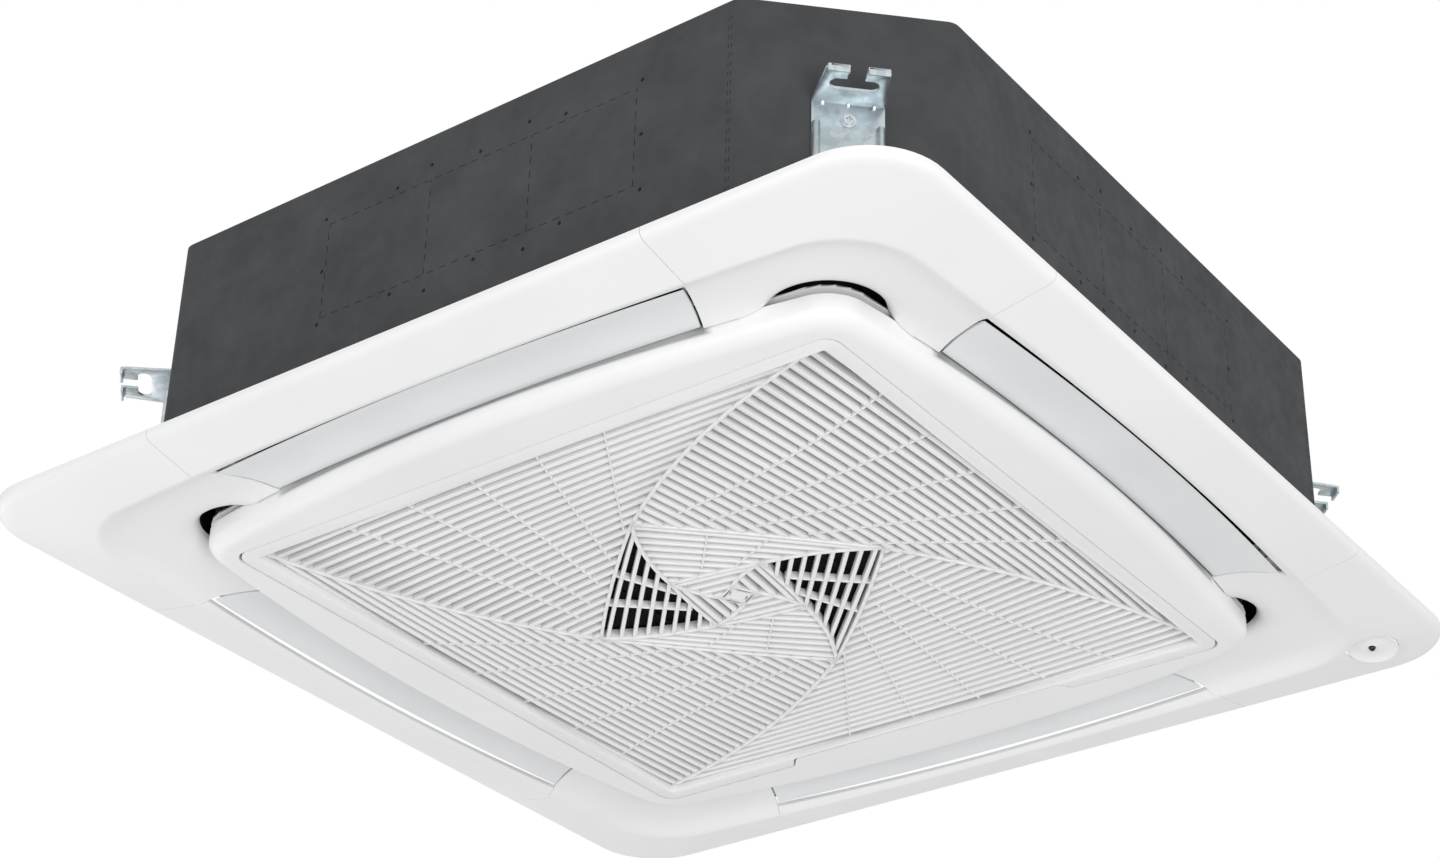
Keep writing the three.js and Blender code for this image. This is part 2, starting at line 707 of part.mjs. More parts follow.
// ---------- vanes ----------
// The right-hand vane: a bowed blade with a hollow face, end arms and pins on its axis.
function makeVane() {
  const columns = 8;
  const rows = 5;
  const at = (i, j, lift) => {
    const t = (2 * i) / columns - 1;
    const s = j / (rows - 1);
    const inner = vaneInner + vaneInnerBow * (1 - t * t);
    const outer = vaneOuter + vaneOuterBow * (1 - t * t);
    const half = THREE.MathUtils.lerp(vaneInnerHalf, vaneOuterHalf, s);
    const depth = THREE.MathUtils.lerp(vaneInnerDepth, vaneOuterDepth, s);
    const hollow = vaneHollow * 4 * s * (1 - s);
    return [THREE.MathUtils.lerp(inner, outer, s), t * half, -depth + hollow + lift];
  };
  const positions = [];
  const index = [];
  const id = (i, j, layer) => layer * (columns + 1) * rows + i * rows + j;
  for (const lift of [0, vaneThickness]) {
    for (let i = 0; i <= columns; i++) {
      for (let j = 0; j < rows; j++) positions.push(...at(i, j, lift));
    }
  }
  const quad = (a, b, c, d) => index.push(a, b, c, a, c, d);
  for (let i = 0; i < columns; i++) {
    for (let j = 0; j < rows - 1; j++) {
      quad(id(i, j, 0), id(i, j + 1, 0), id(i + 1, j + 1, 0), id(i + 1, j, 0));
      quad(id(i, j, 1), id(i + 1, j, 1), id(i + 1, j + 1, 1), id(i, j + 1, 1));
    }
    quad(id(i, 0, 0), id(i + 1, 0, 0), id(i + 1, 0, 1), id(i, 0, 1));
    quad(id(i, rows - 1, 0), id(i, rows - 1, 1), id(i + 1, rows - 1, 1), id(i + 1, rows - 1, 0));
  }
  for (let j = 0; j < rows - 1; j++) {
    quad(id(0, j, 0), id(0, j, 1), id(0, j + 1, 1), id(0, j + 1, 0));
    quad(id(columns, j, 0), id(columns, j + 1, 0), id(columns, j + 1, 1), id(columns, j, 1));
  }
  const geometry = new THREE.BufferGeometry();
  geometry.setAttribute('position', new THREE.Float32BufferAttribute(positions, 3));
  geometry.setIndex(index);
  const arms = [-1, 1].map((side) => {
    const arm = new THREE.Shape([
      vec(vaneAxisPlace - 13, -vaneInnerDepth + vaneThickness), vec(vaneAxisPlace + 16, -vaneInnerDepth + 3),
      vec(vaneAxisPlace + vanePinRadius + 2, vaneAxisHeight + vanePinRadius + 1),
      vec(vaneAxisPlace - vanePinRadius - 2, vaneAxisHeight + vanePinRadius + 1),
    ]);
    const body = plate(arm, -vaneArmThickness / 2, vaneArmThickness / 2);
    const stand = body.rotate([90, 0, 0]).translate([0, side * vaneArmPlace, 0]);
    const start = vaneArmPlace;
    const pin = rod(vanePinRadius, 0, vanePinLength, 10);
    const turnedPin = pin.rotate([-90, 0, 0]).translate([vaneAxisPlace, start, vaneAxisHeight]);
    return [stand, side > 0 ? turnedPin : turnedPin.rotate([0, 0, 180]).translate([2 * vaneAxisPlace, 0, 0])];
  });
  return fuse(solid(geometry), arms);
}

function makeVaneMotor() {
  const start = ductHalf + ductWall + 2 * seatGap;
  const body = rod(motorRadius, 0, motorLength, 16).translate([0, -motorOffset, 0]);
  const bore = rod(vanePinRadius + boreGap, -1, vanePinLength, 10);
  return cut(body, bore).rotate([-90, 0, 0]).translate([vaneAxisPlace, start, vaneAxisHeight]);
}

// ---------- swirl grille ----------
// Corner k of square `level`, counted anticlockwise as the room sees it.
function whirlPoint(level, k) {
  const { radius, turn } = whirl[level];
  const angle = (turn + 90 * k) * RADIAN;
  return vec(radius * Math.cos(angle), -radius * Math.sin(angle));
}

function bowedRun(from, to, bow, steps) {
  const along = to.clone().sub(from);
  const normal = vec(-along.y, along.x).normalize();
  return Array.from({ length: steps + 1 }, (_, i) => {
    const t = i / steps;
    return from.clone().addScaledVector(along, t).addScaledVector(normal, bow * 4 * t * (1 - t));
  });
}

function pathLength(points) {
  return points.slice(1).reduce((sum, p, i) => sum + p.distanceTo(points[i]), 0);
}

function pointAlong(points, share) {
  let left = share * pathLength(points);
  for (let i = 1; i < points.length; i++) {
    const step = points[i].distanceTo(points[i - 1]);
    if (left <= step) return points[i - 1].clone().lerp(points[i], left / step);
    left -= step;
  }
  return points.at(-1).clone();
}

const spokeRun = (level, k) => bowedRun(
  whirlPoint(level, k), whirlPoint(level + 1, k), whirl[level].spokeBow, 5 - 2 * level);
const sideRun = (level, k) => bowedRun(
  whirlPoint(level, k), whirlPoint(level, k + 1), whirl[level].sideBow, level === 1 ? 2 : 1);

// A blade of even thickness that follows a run of points.
function blade(points, thickness, low, high) {
  const normalAt = (i) => {
    const before = points[Math.max(i - 1, 0)];
    const after = points[Math.min(i + 1, points.length - 1)];
    const along = after.clone().sub(before).normalize();
    return vec(-along.y, along.x).multiplyScalar(thickness / 2);
  };
  const left = points.map((p, i) => p.clone().add(normalAt(i)));
  const right = points.map((p, i) => p.clone().sub(normalAt(i))).reverse();
  return plate([...left, ...right], low, high);
}

// The slats of one zone: from the near spoke to the far spoke and the next square's side.
function zoneSlats(level, k, sink) {
  const near = spokeRun(level, k + 1);
  const far = [...spokeRun(level, k), ...sideRun(level + 1, k).slice(1)];
  const count = Math.round(pathLength(near) / slatPitch);
  const slats = [];
  for (let n = 0; n < count; n++) {
    const share = (n + 0.5) / count;
    const from = pointAlong(near, share);
    const to = pointAlong(far, share ** slatLead);
    const length = from.distanceTo(to);
    if (length < 2.5 * spokeThickness) continue;
    slats.push(blade([to, from], slatThickness, -slatFace, -slatFace + slatDeep - slatLow - sink));
  }
  return slats;
}

function makeGrille() {
  const top = -slatFace - spokeProud;
  const pieces = [];
  for (let level = 0; level < whirl.length - 1; level++) {
    for (let k = 0; k < 4; k++) {
      pieces.push(blade(spokeRun(level, k), spokeThickness, top, -slatFace + slatDeep));
      pieces.push(blade(sideRun(level + 1, k), spokeThickness * 0.8, top, -slatFace + slatDeep));
      pieces.push(...zoneSlats(level, k, levelSink * level));
    }
  }
  const hub = whirl.at(-1).radius;
  pieces.push(plate(disc(0, 0, hub, 4).map((p) => p.rotateAround(vec(0, 0), -whirl.at(-1).turn * RADIAN)),
    top, -slatFace + slatDeep));
  const field = fuse(pieces);
  const trim = plate(square(fieldHalf + 1, 3), -60, 0);
  const border = plate(doorOutline(0), -doorFace, -doorBack, [square(fieldHalf, 2)]);
  const pocketFloor = -doorFace + doorWall;
  const pocket = cut(plate(doorOutline(-doorWall), pocketFloor, 0),
    plate(square(fieldHalf + doorWall, 3), -60, 1));
  const bosses = [-1, 1].map((side) => box(
    [side > 0 ? hingeX - 16 : -hingeX + 2, hingeY - 5, -doorFace + 1],
    [side > 0 ? hingeX - 2 : -hingeX + 16, hingeY + 3, -doorBack],
  ));
  const clips = filterClips();
  let grille = fuse(cut(border, pocket), common(field, trim), bosses, clips);
  grille = cut(grille, hingeBores(0.3), catchPassage(seatGap));
  return grille;
}

// Four hooks on the border's back hold the filter.
function filterClips() {
  const seat = -slatFace + slatDeep;
  const top = seat + seatGap + filterThickness;
  return [-1, 1].flatMap((sideX) => [-1, 1].map((sideY) => {
    const x = sideX * 180;
    const wall = filterHalf + seatGap;
    const post = [[x - 8, wall, -doorFace + 1], [x + 8, wall + 4, top + 3]];
    const hook = [[x - 8, wall - 4, top + seatGap], [x + 8, wall + 4, top + 3]];
    return [post, hook].map(([low, high]) => {
      const clip = box(low, high);
      return sideY > 0 ? clip : clip.rotate([0, 0, 180]);
    });
  }));
}

function makeFilter() {
  const low = -slatFace + slatDeep + seatGap;
  const bar = filterBorder / 2;
  const clear = 2 * (filterHalf - filterBorder) - filterBars * bar;
  const opening = clear / (filterBars + 1);
  const holes = [];
  for (let i = 0; i <= filterBars; i++) {
    for (let j = 0; j <= filterBars; j++) {
      const x = -filterHalf + filterBorder + i * (opening + bar);
      const y = -filterHalf + filterBorder + j * (opening + bar);
      holes.push(rectangle(x, y, x + opening, y + opening));
    }
  }
  const frame = plate(square(filterHalf, 8), low, low + filterThickness, holes);
  return fuse(frame, plate(square(filterHalf - 2, 6), low + 1.5, low + 1.5 + filterSheet));
}

// ---------- catches and hinge pins ----------
function makeCatch(side) {
  const low = -doorBack - catchHeight - 1;
  const y = doorHalf - stepDepth + doorGap + seatGap;
  const nose = new THREE.Shape([
    vec(-catchWidth / 2, 4), vec(catchWidth / 2, 4), vec(catchWidth / 2, catchLength - 8),
    vec(-catchWidth / 2, catchLength - 8),
  ]);
  const body = plate(nose, low + seatGap, low + catchHeight - seatGap);
  const tip = rod(catchWidth / 2 - 1, low + seatGap, low + catchHeight - seatGap, 24).translate([0, 5, 0]);
  return fuse(body, tip).translate([side * catchPlace, y - doorGap + 0.1, 0]);
}

function catchGuides(gap) {
  const low = -doorBack - catchHeight - 1;
  return [-1, 1].map((side) => box(
    [side * catchPlace - catchWidth / 2 - gap, doorHalf - stepDepth - 1, low],
    [side * catchPlace + catchWidth / 2 + gap, intakeHalf + 20, low + catchHeight],
  ));
}

// ---------- drain pan, bell mouth, coil ----------
const panBase = ductTop + seatGap;

function makeDrainPan() {
  const outline = casingOutline(casingInset + seatGap);
  const opening = square(panOpening, panOpeningCorner);
  const body = plate(outline, panBase, panTop, [opening]);
  const ledge = plate(square(panOpening + panLedge, panOpeningCorner + panLedge), panBase - 1, ledgeHeight);
  const trough = plate(square(coilInner + coilThickness + 7, coilCorner + 7), troughFloor, panTop + 1,
    [square(coilInner - 6, coilCorner - coilThickness - 6)]);
  const outlets = allRound(box([ductInner, -ductHalf, panBase - 1], [ductOuter - 5, ductHalf, panTop + 1]));
  const slots = allRound(cut(
    plate(disc(slotCentre, slotCentre, slotRadius - 4, 20), panBase - 1, panTop + 1),
    plate(square(coilInner + coilThickness + 12, coilCorner), -60, 90)));
  const sump = rod(46, troughFloor - 4, panTop + 1).translate([-pumpPlace, pumpPlace, 0]);
  return cut(body, ledge, trough, outlets, slots, sump);
}

function makeBellMouth() {
  const outer = panOpening + panLedge - seatGap;
  const high = ledgeHeight - seatGap;
  const low = high - bellThickness;
  const throat = disc(0, 0, bellMouth - 1, 24);
  const plateBody = plate(square(outer, panOpeningCorner + panLedge), low, high, [throat]);
  const t = bellThickness;
  const rise = bellTop - low;
  const inner = [[bellMouth, 0], [bellMouth - 9, 0.06], [bellThroat + 6, 0.3], [bellThroat, 0.7],
    [bellThroat, 1]].map(([r, share]) => [r, low + rise * share]);
  const outerFace = [[bellThroat + t, bellTop], [bellThroat + t, low + rise * 0.72],
    [bellThroat + t + 6, low + rise * 0.36], [bellMouth - 5, high + 0.5], [bellMouth + 3, high]];
  return fuse(plateBody, turned([...inner, ...outerFace, [bellMouth + 3, low]]));
}

function makeCoil() {
  const outer = square(coilInner + coilThickness, coilCorner, 7);
  const inner = square(coilInner, coilCorner - coilThickness, 7);
  const ring = plate(outer, coilBase, coilTop, [inner]);
  const gap = plate(rectangle(-20, -coilGapHalf, coilInner, coilGapHalf), 0, casingTop).rotate([0, 0, 135]);
  const away = coilInner * Math.SQRT2 * 0.62;
  const shift = [-away * Math.SQRT1_2, away * Math.SQRT1_2, 0];
  const waist = plate(square(coilInner + coilThickness + 1, coilCorner, 7), coilBase + 8, coilTop - 8, [
    square(coilInner + coilThickness - coilGroove, coilCorner - coilGroove, 7),
  ]);
  return cut(ring, gap.translate(shift), waist);
}

// ---------- fan and motor ----------
function makeFan() {
  const t = fanSkin;
  const hubTop = fanTop - t;
  const under = [[18, hubCup], [38, hubCup + 4], [60, hubCup + 22], [84, hubCup + 80],
    [106, hubTop - 4], [fanRadius, hubTop]];
  const over = [[fanRadius, fanTop], [105, fanTop - 3.6], [81.2, hubCup + 81.6], [58, hubCup + 24.5],
    [37, hubCup + 7], [18, hubCup + 3]];
  const hub = turned([...under, ...over]);
  const boss = turned([[shaftRadius + boreGap, bossBase], [hubBoss - 1.5, bossBase], [hubBoss, bossTop],
    [shaftRadius + boreGap, bossTop]]);
  const inlet = bellThroat + bellThickness + runGap;
  const shroudIn = [[inlet, fanBase], [inlet + 2, fanBase + 10], [inlet + 14, fanBase + 22],
    [fanRadius, fanBase + 33]];
  const shroudOut = shroudIn.slice(1).map(([r, z]) => [r, z - t]).reverse();
  const shroud = turned([...shroudIn, ...shroudOut.slice(0, -1), [inlet + 2 + t, fanBase + 7],
    [inlet + t, fanBase]]);
  const sweep = (share) => -bladeSweep * RADIAN * share ** 1.2;
  const stations = 4;
  const line = Array.from({ length: stations + 1 }, (_, i) => {
    const share = i / stations;
    const r = THREE.MathUtils.lerp(bladeInner, fanRadius - 0.5, share);
    return vec(r * Math.cos(sweep(share)), r * Math.sin(sweep(share)));
  });
  const foil = (side) => line.map((p, i) => {
    const share = i / stations;
    const width = 0.7 + (bladeThickness / 2) * Math.sin(Math.PI * Math.min(1, share * 0.9 + 0.05));
    const after = line[Math.min(i + 1, stations)];
    const before = line[Math.max(i - 1, 0)];
    const along = after.clone().sub(before).normalize();
    return p.clone().add(vec(-along.y, along.x).multiplyScalar(side * width));
  });
  const outline = [...foil(1), ...foil(-1).reverse()];
  const between = turned([[120, fanBase + 12], [inlet + 1.5, fanBase + 9.5], [inlet + 14, fanBase + 21],
    [fanRadius, fanBase + 32], [fanRadius, hubTop + 0.5], [120, hubTop - 1]]);
  const blades = [];
  for (let i = 0; i < bladeCount; i++) {
    blades.push(plate(outline, fanBase, fanTop).rotate([0, 0, (i * 360) / bladeCount]));
  }
  return fuse(hub, boss, shroud, common(fuse(blades), between));
}

function makeMotor() {
  const body = turned([
    [0, motorBodyTop], [motorFlange, motorBodyTop], [motorFlange, motorBodyTop - 3],
    [motorBodyRadius, motorBodyTop - 3], [motorBodyRadius, motorBodyBase + 8],
    [motorBodyRadius - 6, motorBodyBase], [16, motorBodyBase], [14, motorBodyBase - 6],
    [0, motorBodyBase - 6],
  ]);
  const bore = rod(shaftRadius + boreGap, motorBodyBase - 20, shaftTop + 2, 16);
  return cut(body, bore);
}

function makeMotorMount(turns) {
  const low = motorBodyTop + seatGap;
  const high = casingTop - pressDepth - sheetThickness - seatGap;
  const mid = (low + high) / 2;
  const profile = [[0, low], [mountRadius, low], [mountRadius, mid - 2], [mountRadius - 2, mid],
    [mountRadius, mid + 2], [mountRadius, high], [0, high]];
  return quarter(turned(profile, 12).translate([mountPlace, 0, 0]), turns + 0.5);
}

function makeFanNut() {
  const low = shaftBottom + 2;
  const hex = plate(disc(0, 0, 11, 6), low, 94 - seatGap);
  return cut(hex, rod(shaftRadius + boreGap, low - 1, 100, 20));
}

// ---------- control box ----------
const boxTop = ledgeHeight - seatGap - bellThickness - seatGap;

function makeControlBox() {
  const outline = rectangle(-boxHalf, boxNear, boxHalf, boxFar);
  const inner = rectangle(-boxHalf + boxWall, boxNear + boxWall, boxHalf - boxWall, boxFar - boxWall);
  return cut(plate(outline, boxBase, boxTop), plate(inner, boxBase - 1, boxTop - boxWall));
}

function makeControlCover() {
  const high = boxBase - seatGap;
  const lid = plate(rectangle(-boxHalf - 1, boxNear - 1, boxHalf + 1, boxFar + 1), high - 1.6, high);
  const bead = plate(rectangle(-boxHalf + 20, boxNear + 20, boxHalf - 20, boxFar - 20), high - 3, high - 1);
  return fuse(lid, bead);
}

function makeControlBoard() {
  const low = boxTop - boxWall - 9;
  const y = (boxNear + boxFar) / 2;
  const board = plate(rectangle(-boxHalf + 10, boxNear + 8, boxHalf - 10, boxFar - 8), low, low + 1.6);
  const stands = [-1, 1].map((side) => rod(4, low + 1, boxTop - boxWall - seatGap, 12)
    .translate([side * (boxHalf - 20), y, 0]));
  const parts = [
    box([-110, y - 16, low - 14], [-70, y + 16, low + 0.5]),
    box([-50, y - 8, low - 9], [-10, y + 8, low + 0.5]),
    rod(9, low - 15, low + 0.5, 16).translate([20, y, 0]),
    box([50, y - 20, low - 7], [110, y - 4, low + 0.5]),
  ];
  return fuse(board, stands, parts);
}

// ---------- hanger brackets ----------
// Bracket on the chamfer: u runs along the chamfer, v away from it. Modelled facing +X.
function makeBracket() {
  const half = bracketWidth / 2;
  const tip = tabTipWidth / 2;
  const t = bracketSheet;
  const wall = box([0, -half, bracketFoot], [t, half, bracketBend]);
  const slotEnd = rodSlotLength / 2 - rodSlotWidth / 2;
  const tab = plate([vec(0, -half), vec(4, -half), vec(tabReach, -tip), vec(tabReach, tip), vec(4, half),
    vec(0, half)], bracketBend - t, bracketBend);
  const slotNear = rodSlotPlace - rodSlotWidth / 2;
  const slot = [
    box([slotNear, -slotEnd, 0], [slotNear + rodSlotWidth, slotEnd, casingTop]),
    ...[-1, 1].map((side) => rod(rodSlotWidth / 2, 0, casingTop, 12)
      .translate([rodSlotPlace, side * slotEnd, 0])),
    box([rodSlotPlace, -rodMouthWidth / 2, 0], [tabReach + 5, rodMouthWidth / 2, casingTop]),
  ];
  const lipCentre = tip - lipWidth / 2 - 1;
  const lips = [-1, 1].map((side) => box(
    [tabReach - t, side * lipCentre - lipWidth / 2, bracketBend - lipHeight],
    [tabReach, side * lipCentre + lipWidth / 2, bracketBend]));
  const beads = [-1, 1].map((side) => {
    const y = side * (half - beadWidth / 2);
    return box([t - 0.5, y - beadWidth / 2, bracketFoot],
      [t + beadHeight, y + beadWidth / 2, bracketBend - 22]);
  });
  return fuse(cut(tab, slot), wall, lips, beads);
}

// ---------- pipes and drain ----------
function tube(points, radius, sides, steps) {
  const curve = new THREE.CatmullRomCurve3(points.map((p) => new THREE.Vector3(...p)), false, 'centripetal');
  const section = new THREE.Shape(disc(0, 0, radius, sides));
  return solid(new THREE.ExtrudeGeometry(section, { extrudePath: curve, steps, bevelEnabled: false }));
}

function makePipe(radius, place, height) {
  const end = -casingHalf - pipeReach;
  const length = -(coilInner + coilThickness - coilGroove + seatGap) - end;
  return alongX(cut(rod(radius, 0, length, 16), rod(radius - 1, -1, 24, 16)), end, place, height);
}

function makeFlareNut(radius, place, height) {
  const across = radius * 1.95;
  const start = -casingHalf - pipeReach + 5;
  const nut = fuse(rod(across, 0, nutLength * 0.7, 6), rod(across * 0.82, nutLength * 0.6, nutLength, 20));
  return alongX(cut(nut, rod(radius + seatGap, -1, nutLength + 1, 20)), start - 3, place, height);
}

const gasPlace = pipePlace + gasShift;
const liquidPlace = pipePlace - liquidShift;

function makePipePlate() {
  const edge = windowHalf + 8;
  const sheet = box([-casingHalf - seatGap - sheetThickness, pipePlace - edge, windowLow - 8],
    [-casingHalf - seatGap, pipePlace + edge, windowHigh + 8]);
  const holes = [[gasPipeRadius, gasPlace, gasPipeHeight], [liquidPipeRadius, liquidPlace, liquidPipeHeight]]
    .map(([radius, y, z]) => alongX(rod(radius + seatGap, -10, 10, 20), -casingHalf, y, z));
  return cut(sheet, holes);
}

function makePump() {
  const base = troughFloor - 4 + seatGap;
  const profile = [[0, base], [12, base], [12, base + 16], [pumpRadius, base + 20],
    [pumpRadius, pumpTop - 30], [pumpRadius - 4, pumpTop - 28], [pumpRadius - 4, pumpTop], [0, pumpTop]];
  return turned(profile, 16).translate([-pumpPlace, pumpPlace, 0]);
}

function makeDrainOutlet() {
  const end = casingHalf + drainReach;
  const run = [[-pumpPlace, pumpPlace, pumpTop + seatGap], [-pumpPlace, pumpPlace, pumpTop + 12],
    [-pumpPlace + 14, pumpPlace + 10, drainHeight - 9], [-drainPlace - 12, pumpPlace + 42, drainHeight],
    [-drainPlace, pumpPlace + 62, drainHeight], [-drainPlace, pumpPlace + 74, drainHeight],
    [-drainPlace, end, drainHeight]];
  const hose = tube(run, drainRadius, 10, 14);
  const bore = alongY(rod(drainRadius - 2.5, -26, 2, 12), -drainPlace, end, drainHeight);
  return cut(hose, bore);
}

function makeFloatStem() {
  const [x, y] = floatPlace;
  const low = troughFloor - 4 + seatGap;
  const stem = rod(2.4, low, low + 44, 12);
  const foot = rod(7, low, low + 2, 16);
  const head = rod(6, low + 40, low + 50, 16);
  const stop = rod(4.2, low + 8 + floatTravel + 12, low + 8 + floatTravel + 14, 12);
  return fuse(stem, foot, head, stop).translate([-x, y, 0]);
}

function makeFloat() {
  const [x, y] = floatPlace;
  const low = troughFloor - 4 + 2 * seatGap + 2;
  const profile = [[3, low], [7, low], [8, low + 2], [8, low + 10], [7, low + 12], [3, low + 12]];
  return turned(profile, 14).translate([-x, y, 0]);
}

// ---------- the assembly ----------
part('casing_shell', makeCasing(), zincSheet);
part('outer_insulation', makeInsulation(), foamWrap);
part('foam_liner', makeLiner(), blackFoam);
part('panel_gasket', makeGasket(), sponge);
part('panel_frame', makePanelFrame(), whitePlastic);

const cornerNames = ['back_right', 'back_left', 'front_left', 'front_right'];
cornerNames.forEach((name, turns) => part(`corner_cover_${name}`, makeCornerCover(turns), whitePlastic));

const receiver = makeReceiver();
part('receiver_housing', receiver.body, whitePlastic);
part('receiver_window', rod(3.3, receiver.face + 3, receiver.face + 5.5, 16)
  .translate([receiverPlace, receiverPlace, 0]), darkPlastic);

const sideNames = ['right', 'back', 'left', 'front'];
const vane = makeVane();
const vaneMotor = makeVaneMotor();
sideNames.forEach((name, turns) => {
  part(`air_vane_${name}`, quarter(vane, turns), vanePlastic);
  part(`vane_motor_${name}`, quarter(vaneMotor, turns), darkPlastic);
});

part('swirl_grille', makeGrille(), grillePlastic);
part('air_filter', makeFilter(), filterNet);
for (const side of [-1, 1]) {
  const name = side > 0 ? 'right' : 'left';
  part(`grille_catch_${name}`, makeCatch(side), greyPlastic);
  const pin = rod(hingePinRadius, -hingePinLength / 2, hingePinLength / 2, 10);
  part(`hinge_pin_${name}`, alongX(pin, side * (hingeX + 3), hingeY, hingeZ), steel);
}

part('drain_pan', makeDrainPan(), blackFoam);
part('bell_mouth', makeBellMouth(), greyPlastic);
part('heat_exchanger', makeCoil(), aluminium);
part('turbo_fan', makeFan(), greyPlastic);
part('fan_motor', makeMotor(), zincSheet);
part('motor_shaft', rod(shaftRadius, shaftBottom, shaftTop, 20), steel);
part('fan_nut', makeFanNut(), steel);
for (let turns = 0; turns < 4; turns++) part(`motor_mount_${turns + 1}`, makeMotorMount(turns), rubber);

part('control_box', makeControlBox(), zincSheet);
part('control_box_cover', makeControlCover(), zincSheet);
part('control_board', makeControlBoard(), circuitGreen);

const chamferPlace = (casingHalf - casingChamfer / 2) * Math.SQRT2 + seatGap;
const bracket = makeBracket().translate([chamferPlace, 0, 0]);
cornerNames.forEach((name, turns) => {
  part(`hanger_bracket_${name}`, bracket.rotate([0, 0, 45 + 90 * turns]), zincSheet);
});

part('gas_pipe', makePipe(gasPipeRadius, gasPlace, gasPipeHeight), copper);
part('liquid_pipe', makePipe(liquidPipeRadius, liquidPlace, liquidPipeHeight), copper);
part('gas_flare_nut', makeFlareNut(gasPipeRadius, gasPlace, gasPipeHeight), brass);
part('liquid_flare_nut', makeFlareNut(liquidPipeRadius, liquidPlace, liquidPipeHeight), brass);
part('pipe_plate', makePipePlate(), zincSheet);
part('drain_pump', makePump(), greyPlastic);
part('drain_outlet', makeDrainOutlet(), darkPlastic);
part('float_stem', makeFloatStem(), greyPlastic);
part('float_ring', makeFloat(), sponge);

export default cassette;
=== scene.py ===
import math
import bpy
from mathutils import Matrix, Vector


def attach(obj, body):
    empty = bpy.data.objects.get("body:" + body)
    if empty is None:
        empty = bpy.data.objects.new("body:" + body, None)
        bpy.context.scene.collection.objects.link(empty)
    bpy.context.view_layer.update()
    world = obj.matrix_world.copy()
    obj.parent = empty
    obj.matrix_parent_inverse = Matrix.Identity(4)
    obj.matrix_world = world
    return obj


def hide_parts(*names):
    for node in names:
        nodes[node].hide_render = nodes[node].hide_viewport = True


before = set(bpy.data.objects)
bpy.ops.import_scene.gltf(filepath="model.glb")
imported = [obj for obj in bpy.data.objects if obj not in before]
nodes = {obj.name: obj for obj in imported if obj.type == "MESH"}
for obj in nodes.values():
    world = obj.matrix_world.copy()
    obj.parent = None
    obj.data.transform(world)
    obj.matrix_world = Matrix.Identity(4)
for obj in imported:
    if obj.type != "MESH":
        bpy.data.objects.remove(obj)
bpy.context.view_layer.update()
mm = 0.001
cutDeep = 60  # cutters through the panel reach this far down and up
cutHigh = 300  # cutters through the casing reach this far up
cornerNames = ["back_right", "back_left", "front_left", "front_right"]
sideNames = ["right", "back", "left", "front"]
print("frame loaded:", len(nodes), "nodes")


# small helpers
def hexColour(code):
    # sRGB hex to the linear values that the shader wants
    linear = []
    for start in (1, 3, 5):
        value = int(code[start:start + 2], 16) / 255
        linear.append(value / 12.92 if value <= 0.04045 else ((value + 0.055) / 1.055) ** 2.4)
    return (*linear, 1.0)


def addNode(tree, kind, settings=None, links=None):
    node = tree.nodes.new(kind)
    for key, value in (settings or {}).items():
        if key in node.inputs:
            node.inputs[key].default_value = value
        else:
            setattr(node, key, value)
    for key, source in (links or {}).items():
        tree.links.new(source, node.inputs[key])
    return node


def deselectAll():
    if bpy.context.object and bpy.context.object.mode != "OBJECT":
        bpy.ops.object.mode_set(mode="OBJECT")
    bpy.ops.object.select_all(action="DESELECT")


def pick(piece):
    deselectAll()
    piece.select_set(True)
    bpy.context.view_layer.objects.active = piece


def editAll(piece):
    pick(piece)
    bpy.ops.object.mode_set(mode="EDIT")
    bpy.ops.mesh.select_all(action="SELECT")


def leaveEdit():
    bpy.ops.object.mode_set(mode="OBJECT")


def placeVertices(piece, points):
    # points in millimetres, one for each vertex
    flat = [value * mm for point in points for value in point]
    piece.data.vertices.foreach_set("co", flat)
    piece.data.update()


def applyModifier(piece, kind, settings):
    pick(piece)
    modifier = piece.modifiers.new(kind.lower(), kind)
    for key, value in settings.items():
        setattr(modifier, key, value)
    bpy.ops.object.modifier_apply(modifier=modifier.name)


def carve(piece, cutters, operation="DIFFERENCE"):
    for cutter in cutters:
        applyModifier(piece, "BOOLEAN", {"operation": operation, "solver": "EXACT", "object": cutter})
        bpy.data.objects.remove(cutter)


def copyPiece(piece, name):
    copied = piece.copy()
    copied.data = piece.data.copy()
    copied.name = name
    bpy.context.scene.collection.objects.link(copied)
    return copied


def joinPieces(pieces, name):
    deselectAll()
    for piece in pieces:
        piece.select_set(True)
    bpy.context.view_layer.objects.active = pieces[0]
    bpy.ops.object.join()
    pieces[0].name = name
    pieces[0].data.name = name
    return pieces[0]


def turnPiece(piece, degrees):
    piece.data.transform(Matrix.Rotation(math.radians(degrees), 4, "Z"))
    return piece


def movePiece(piece, x, y, z):
    piece.data.transform(Matrix.Translation((x * mm, y * mm, z * mm)))
    return piece


def smoothPiece(piece, degrees=32):
    pick(piece)
    bpy.ops.object.shade_smooth_by_angle(angle=math.radians(degrees))


